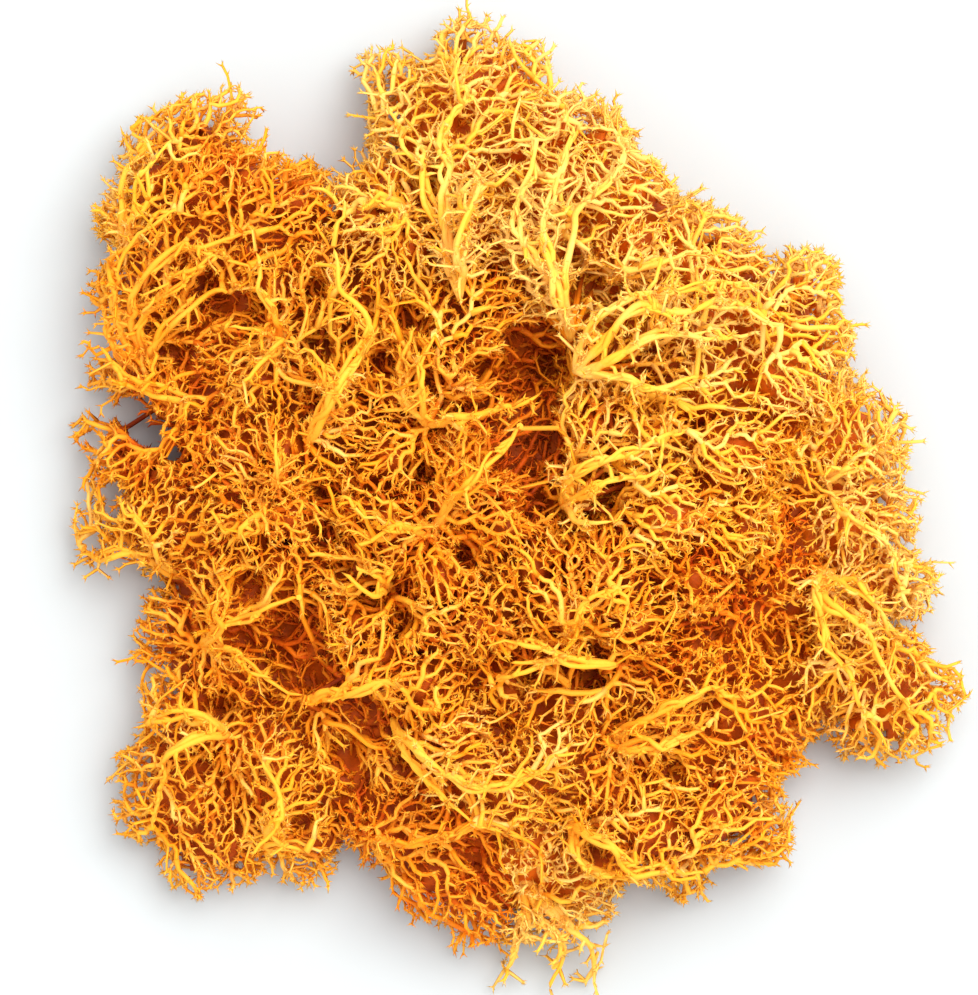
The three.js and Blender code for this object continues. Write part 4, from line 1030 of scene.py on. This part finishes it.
# A tuft's core: the cells of the grid that it owns and that rise above the floor, with a rough top,
# an underside, and walls round the edge
def addCore(batch, grid, number, tuftTone, draw):
    height = grid["height"]
    least = np.min([height[:-1, :-1], height[1:, :-1], height[:-1, 1:], height[1:, 1:]], axis=0)
    owned = (grid["owner"] == number) & (least > core["least"])
    if not owned.any():
        return
    column = np.arange(height.size).reshape(height.shape)
    i, j = np.nonzero(owned)
    a, b, c, d = column[i, j], column[i + 1, j], column[i + 1, j + 1], column[i, j + 1]
    below = height.size
    faces = [np.stack((a, b, c, d), axis=-1), np.stack((d, c, b, a), axis=-1) + below]
    around = np.pad(owned, 1)
    edges = (
        (a, b, around[i + 1, j]), (b, c, around[i + 2, j + 1]),
        (c, d, around[i + 1, j + 2]), (d, a, around[i, j + 1]),
    )
    for start, end, isOwned in edges:
        start, end = start[~isOwned], end[~isOwned]
        faces.append(np.stack((start + below, end + below, end, start), axis=-1))
    used, place = np.unique(np.vstack(faces), return_inverse=True)
    flat = grid["plan"].reshape(-1, 2)
    sheets = [np.column_stack((flat, field.ravel())) for field in (height, grid["under"])]
    points = np.vstack(sheets)[used]
    yellow = np.full(len(points), tones["yellow"][0] + tones["coreYellow"] * tuftTone)
    # The core's dark tone is painted shade of the deep inside, less of it for pale tufts
    paler, over = tones["corePaler"]
    pale = draw.uniform(*tones["core"], len(points)) + paler * max(tuftTone - over, 0)
    batch.add(points, np.stack((pale, yellow), axis=-1), core["mapSides"], {"side": place.reshape(-1, 4)})


# A tuft's strands and spines as tubes. A strand's radius falls from root to tip by a power of what
# is left of its length, with a narrow foot and slow knobs. A spine is as thick as a twig there.
def addLines(batch, everything, line, strandCount, radius, tone, tuftTone, draw):
    narrow, widening = stems["foot"]
    amount, size = stems["knobs"]
    for index in range(line.max() + 1):
        own = np.r_[0, np.flatnonzero(line == index)]
        path, width, lineTone = everything[own], radius[own], tone[own]
        if index < strandCount:
            share = np.linspace(0, 1, len(own))
            width = stems["tip"] + (stems["root"] - stems["tip"]) * (1 - share) ** stems["taper"]
            width *= np.minimum(1, narrow + widening * share)
            width *= (1 + amount * waves(path, size, index)) * draw.uniform(*stems["vary"])
            lineTone = bareToneAt(path, tuftTone)
        batch.addTubes(path[None], width[None], lineTone[None], stems["sides"])


# A tuft's links, each a straight twig that runs a little past the second place
def addLinks(batch, everything, linked, radius, tone):
    start, end = linked
    past = everything[end] + twigs["linkPast"] * (everything[end] - everything[start])
    widths = np.stack((radius[start], radius[end]), axis=1) * twigs["linkWidth"]
    linkTone = np.stack((tone[start], tone[end]), axis=1)
    batch.addTubes(np.stack((everything[start], past), axis=1), widths, linkTone, twigs["sides"][0])


# A tuft's rungs, each through a middle that a draw moves aside
def addRungs(batch, skeleton, line, strandCount, tuftTone, draw):
    start, end = rungsOf(skeleton, line, strandCount, draw)
    if not len(start):
        return
    middle = (skeleton[start] + skeleton[end]) / 2 + draw.normal(size=(len(start), 3)) * stems["rungBend"]
    rungs = np.stack((skeleton[start], middle, skeleton[end]), axis=1)
    rungTone = bareToneAt(rungs.reshape(-1, 3), tuftTone).reshape(-1, 3, 2)
    batch.addTubes(rungs, np.tile(stems["rungWidths"], (len(start), 1)), rungTone, stems["rungSides"])


# Twigs of one length, in points: each starts wider than it goes on, and a prong at its own width.
# The thick ones have more sides.
def addTwigs(batch, chain, everything, radius, tone, draw):
    thick = radius[chain] * draw.uniform(*twigs["vary"], (len(chain), 1))
    thick[:, 0] = thick[:, 1] * twigs["web"] if chain.shape[1] > 2 else twigs["prongFoot"]
    own = tone[chain] + draw.uniform(-0.5, 0.5, (len(chain), 1, 1)) * (tones["mottle"], 0.0)
    own[:, 0] = own[:, 1]
    isThick = thick.max(1) > twigs["stout"]
    for sides, chosen in zip(twigs["sides"], (~isThick, isThick)):
        if chosen.any():
            batch.addTubes(everything[chain[chosen]], thick[chosen], own[chosen], sides)


# A tuft as one piece: its core, spines, bare stems, and all its twigs with their prongs. A twig's
# radius is that of a tip times a power of the number of tips that it carries.
def growTuft(name, number, points, layer, grid, material, draw):
    one = tufts[name]
    batch = Batch()
    addCore(batch, grid, number, one["tone"], draw)
    skeleton, before, line, age = skeletonOf(one, draw)
    first = len(skeleton)
    strandCount = len(one["stems"]) * stems["strands"]

    shoots = shootsOf(skeleton, line, age, strandCount, draw)
    shoots = shoots[~inHollow(shoots, grid)]
    points, layer = np.vstack((points, shoots)), np.r_[layer, np.ones(len(shoots), int)]
    parent = growTwigs(points, skeleton, age, draw)
    points = straightened(points, skeleton, parent)
    wisps, parent, layer = growWisps(points, skeleton, parent, layer, draw)
    points = np.vstack((points, wisps))

    before = np.r_[before, parent]
    isTip = np.bincount(before, minlength=len(before))[first:] == 0
    ahead = unit(points - np.vstack((skeleton, points))[parent])
    atTips = np.array((0, *twigs["prongs"]))[layer]
    along = (np.array((0, *twigs["barbs"]))[layer] + draw.random(len(points))).astype(int)
    ends, index = growProngs(points, ahead, np.where(isTip, atTips, along), draw)
    linked = linksOf(points, parent, first, draw)
    linked = linked[:, ~inHollow(points[linked].mean(0), grid)] + first

    everything = np.vstack((skeleton, points, ends))
    everything[:, 2] = np.maximum(everything[:, 2], growth["floorGap"])
    before = np.r_[before, first + index]
    layer = np.r_[np.zeros(first, int), layer, layer[index]]
    carried = tipsCarried(before)
    radius = np.minimum(twigs["least"] * carried ** twigs["law"], twigs["most"])
    tone = twigToneAt(everything, layer, radius, first, grid, one["tone"])

    addLines(batch, everything, line, strandCount, radius, tone, one["tone"], draw)
    addLinks(batch, everything, linked, radius, tone)
    addRungs(batch, skeleton, line, strandCount, one["tone"], draw)
    chains = chainsOf(before, carried, first)
    lengths = (chains >= 0).sum(1)
    for length in np.unique(lengths):
        addTwigs(batch, chains[lengths == length, :length], everything, radius, tone, draw)

    piece = batch.toPiece(f"lichen_{name}", material)
    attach(piece, "root")
    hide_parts(f"tuft_{name}")
    return batch.triangles()


# One socket, so that shader maths reads as sums: an expression on values adds its Math nodes
class Wire:
    def __init__(self, board, socket):
        self.board, self.socket = board, socket

    def worked(self, operation, *values):
        return self.board.node("ShaderNodeMath", {"operation": operation}, *values)

    def __add__(self, other):
        return self.worked("ADD", self, other)

    def __radd__(self, other):
        return self.worked("ADD", other, self)

    def __sub__(self, other):
        return self.worked("SUBTRACT", self, other)

    def __rsub__(self, other):
        return self.worked("SUBTRACT", other, self)

    def __mul__(self, other):
        return self.worked("MULTIPLY", self, other)

    def __rmul__(self, other):
        return self.worked("MULTIPLY", other, self)


# The nodes of one material
class Board:
    def __init__(self, material):
        material.use_nodes = True
        self.tree = material.node_tree
        self.shader = self.tree.nodes["Principled BSDF"]

    # Any node: its type, its settings, then the values or wires of its sockets in order or by name
    def node(self, kind, settings, *values, output=0, **named):
        made = self.tree.nodes.new(kind)
        for key, value in settings.items():
            if key == "stops":
                ramp = made.color_ramp
                while len(ramp.elements) < len(value):
                    ramp.elements.new(1.0)
                for element, (place, colour) in zip(ramp.elements, value):
                    element.position, element.color = place, (*colour, 1)
            else:
                setattr(made, key, value)
        for key, value in [*enumerate(values), *named.items()]:
            self.join(made.inputs[key], value)
        return Wire(self, made.outputs[output])

    # A wire is linked to the socket, and any other value is set on it
    def join(self, socket, value):
        if isinstance(value, Wire):
            self.tree.links.new(value.socket, socket)
        else:
            socket.default_value = value

    # A colour on the way from one to the other
    def mix(self, factor, one, other):
        return self.node("ShaderNodeMix", {"data_type": "RGBA"}, output=2, Factor=factor, A=one, B=other)


# A colour written as in a paint chart, as the light values that a shader reads
def paint(code):
    parts = [int(code[i:i + 2], 16) / 255 for i in (0, 2, 4)]
    return tuple(p / 12.92 if p <= 0.04045 else ((p + 0.055) / 1.055) ** 2.4 for p in parts)


# What to change about the dye and the painted shade. Both rows run from the painted shade of the deepest
# pocket to the palest tip.
dyeAndShade = {
    "red": ("7e2404", "e25c08", "f48a14", "fcac38", "fcc870"),
    "yellow": ("8e3004", "f08a0c", "fdae16", "febc36", "ffd272"),
    "grain": {"Scale": 90.0, "Detail": 3.0}, "streak": 0.1,  # how fine its grain is, and how much it shows
    "rough": (0.5, 0.2),  # least roughness, and what the grain adds
    "bump": 0.25, "bumpDepth": 0.0001,  # the grain's relief: strength, and height in metres
    "shine": 0.15,  # how strongly it mirrors
}


# Dyed lichen with painted shade: two rows of colours, red and yellow, chosen by the piece's own map, which
# holds how pale and how yellow each spot is, its painted shade included. Fine streaks and grain come from
# the same map.
def lichen(name):
    material = bpy.data.materials.new(name)
    board = Board(material)
    shader = board.shader
    place = board.node("ShaderNodeUVMap", {"uv_map": "OFBake"})
    pale = board.node("ShaderNodeSeparateXYZ", {}, place)
    yellow = board.node("ShaderNodeSeparateXYZ", {}, place, output=1)
    grain = board.node("ShaderNodeTexNoise", {"noise_dimensions": "2D"}, place, **dyeAndShade["grain"])
    streaked = pale + dyeAndShade["streak"] * (grain - 0.5)
    rows = []
    for row in (dyeAndShade["red"], dyeAndShade["yellow"]):
        stops = [(i / (len(row) - 1), paint(code)) for i, code in enumerate(row)]
        rows.append(board.node("ShaderNodeValToRGB", {"stops": stops}, streaked))
    board.join(shader.inputs["Base Color"], board.mix(yellow, *rows))
    base, gain = dyeAndShade["rough"]
    board.join(shader.inputs["Roughness"], base + gain * grain)
    bump = board.node("ShaderNodeBump", {}, Strength=dyeAndShade["bump"], Distance=dyeAndShade["bumpDepth"], Height=grain)
    board.join(shader.inputs["Normal"], bump)
    shader.inputs["Specular IOR Level"].default_value = dyeAndShade["shine"]
    return material


draw = np.random.default_rng(growth["seed"])
grid = coreGrid(draw)
print("core grid:", grid["plan"].shape[:2], "corners")
places, layers = placesToGrow(grid, draw)
mingleBy, mingleSize = growth["tangle"]
mingle = [waves(places, mingleSize, phase) for phase in growth["tanglePhases"]]
owners = ownersOf(places[:, :2] + np.stack(mingle, axis=-1) * mingleBy)
print("places to grow:", len(places), "in layers of", np.bincount(layers)[1:])
dyed = lichen("dyed lichen")
total = 0
for number, name in enumerate(tufts):
    own = owners == number
    made = growTuft(name, number, places[own], layers[own], grid, dyed, draw)
    total += made
    print("tuft", name, own.sum(), "places", made, "triangles")
print("all tufts:", total, "triangles")

# The studio: a pale table, an even white surround, and one large soft light from the upper right
studio = {
    "tableSize": 6, "table": (0.5, 0.53, 0.536), "tableRough": 0.6,  # metres, colour and roughness
    "surround": 1.14,  # strength of the white all round
    "lightFrom": (0.4, 0.45, 1.3), "lightSize": 1.1, "lightPower": 24,  # metres, metres and watts
    "cameraHeight": 1.0, "levelInFocus": 0.012,  # how high the camera hangs over this level
    "viewWidth": 0.12225,  # how much of that level it sees from left to right
    "film": 36, "clip": (0.05, 20),
}
bpy.ops.mesh.primitive_plane_add(size=studio["tableSize"], location=(0, 0, 0))
table = bpy.context.object
table.name = "table"
tableTop = bpy.data.materials.new("pale table")
tableBoard = Board(tableTop)
tableBoard.shader.inputs["Base Color"].default_value = (*studio["table"], 1)
tableBoard.shader.inputs["Roughness"].default_value = studio["tableRough"]
table.data.materials.append(tableTop)

world = bpy.data.worlds.new("studio")
bpy.context.scene.world = world
world.use_nodes = True
world.node_tree.nodes["Background"].inputs["Color"].default_value = (1, 1, 1, 1)
world.node_tree.nodes["Background"].inputs["Strength"].default_value = studio["surround"]

lamp = bpy.data.lights.new("soft light", "AREA")
lamp.size, lamp.energy = studio["lightSize"], studio["lightPower"]
light = bpy.data.objects.new("soft light", lamp)
light.location = studio["lightFrom"]
light.rotation_euler = (-light.location).to_track_quat("-Z", "Y").to_euler()
bpy.context.scene.collection.objects.link(light)

lens = bpy.data.cameras.new("camera")
lens.sensor_fit, lens.sensor_width = "HORIZONTAL", studio["film"]
lens.lens = studio["film"] * studio["cameraHeight"] / studio["viewWidth"]
lens.clip_start, lens.clip_end = studio["clip"]
camera = bpy.data.objects.new("camera", lens)
camera.location = (0, 0, studio["cameraHeight"] + studio["levelInFocus"])
bpy.context.scene.collection.objects.link(camera)
bpy.context.scene.camera = camera
bpy.context.scene.view_settings.view_transform = "Standard"
print("studio: table, surround, light and camera")
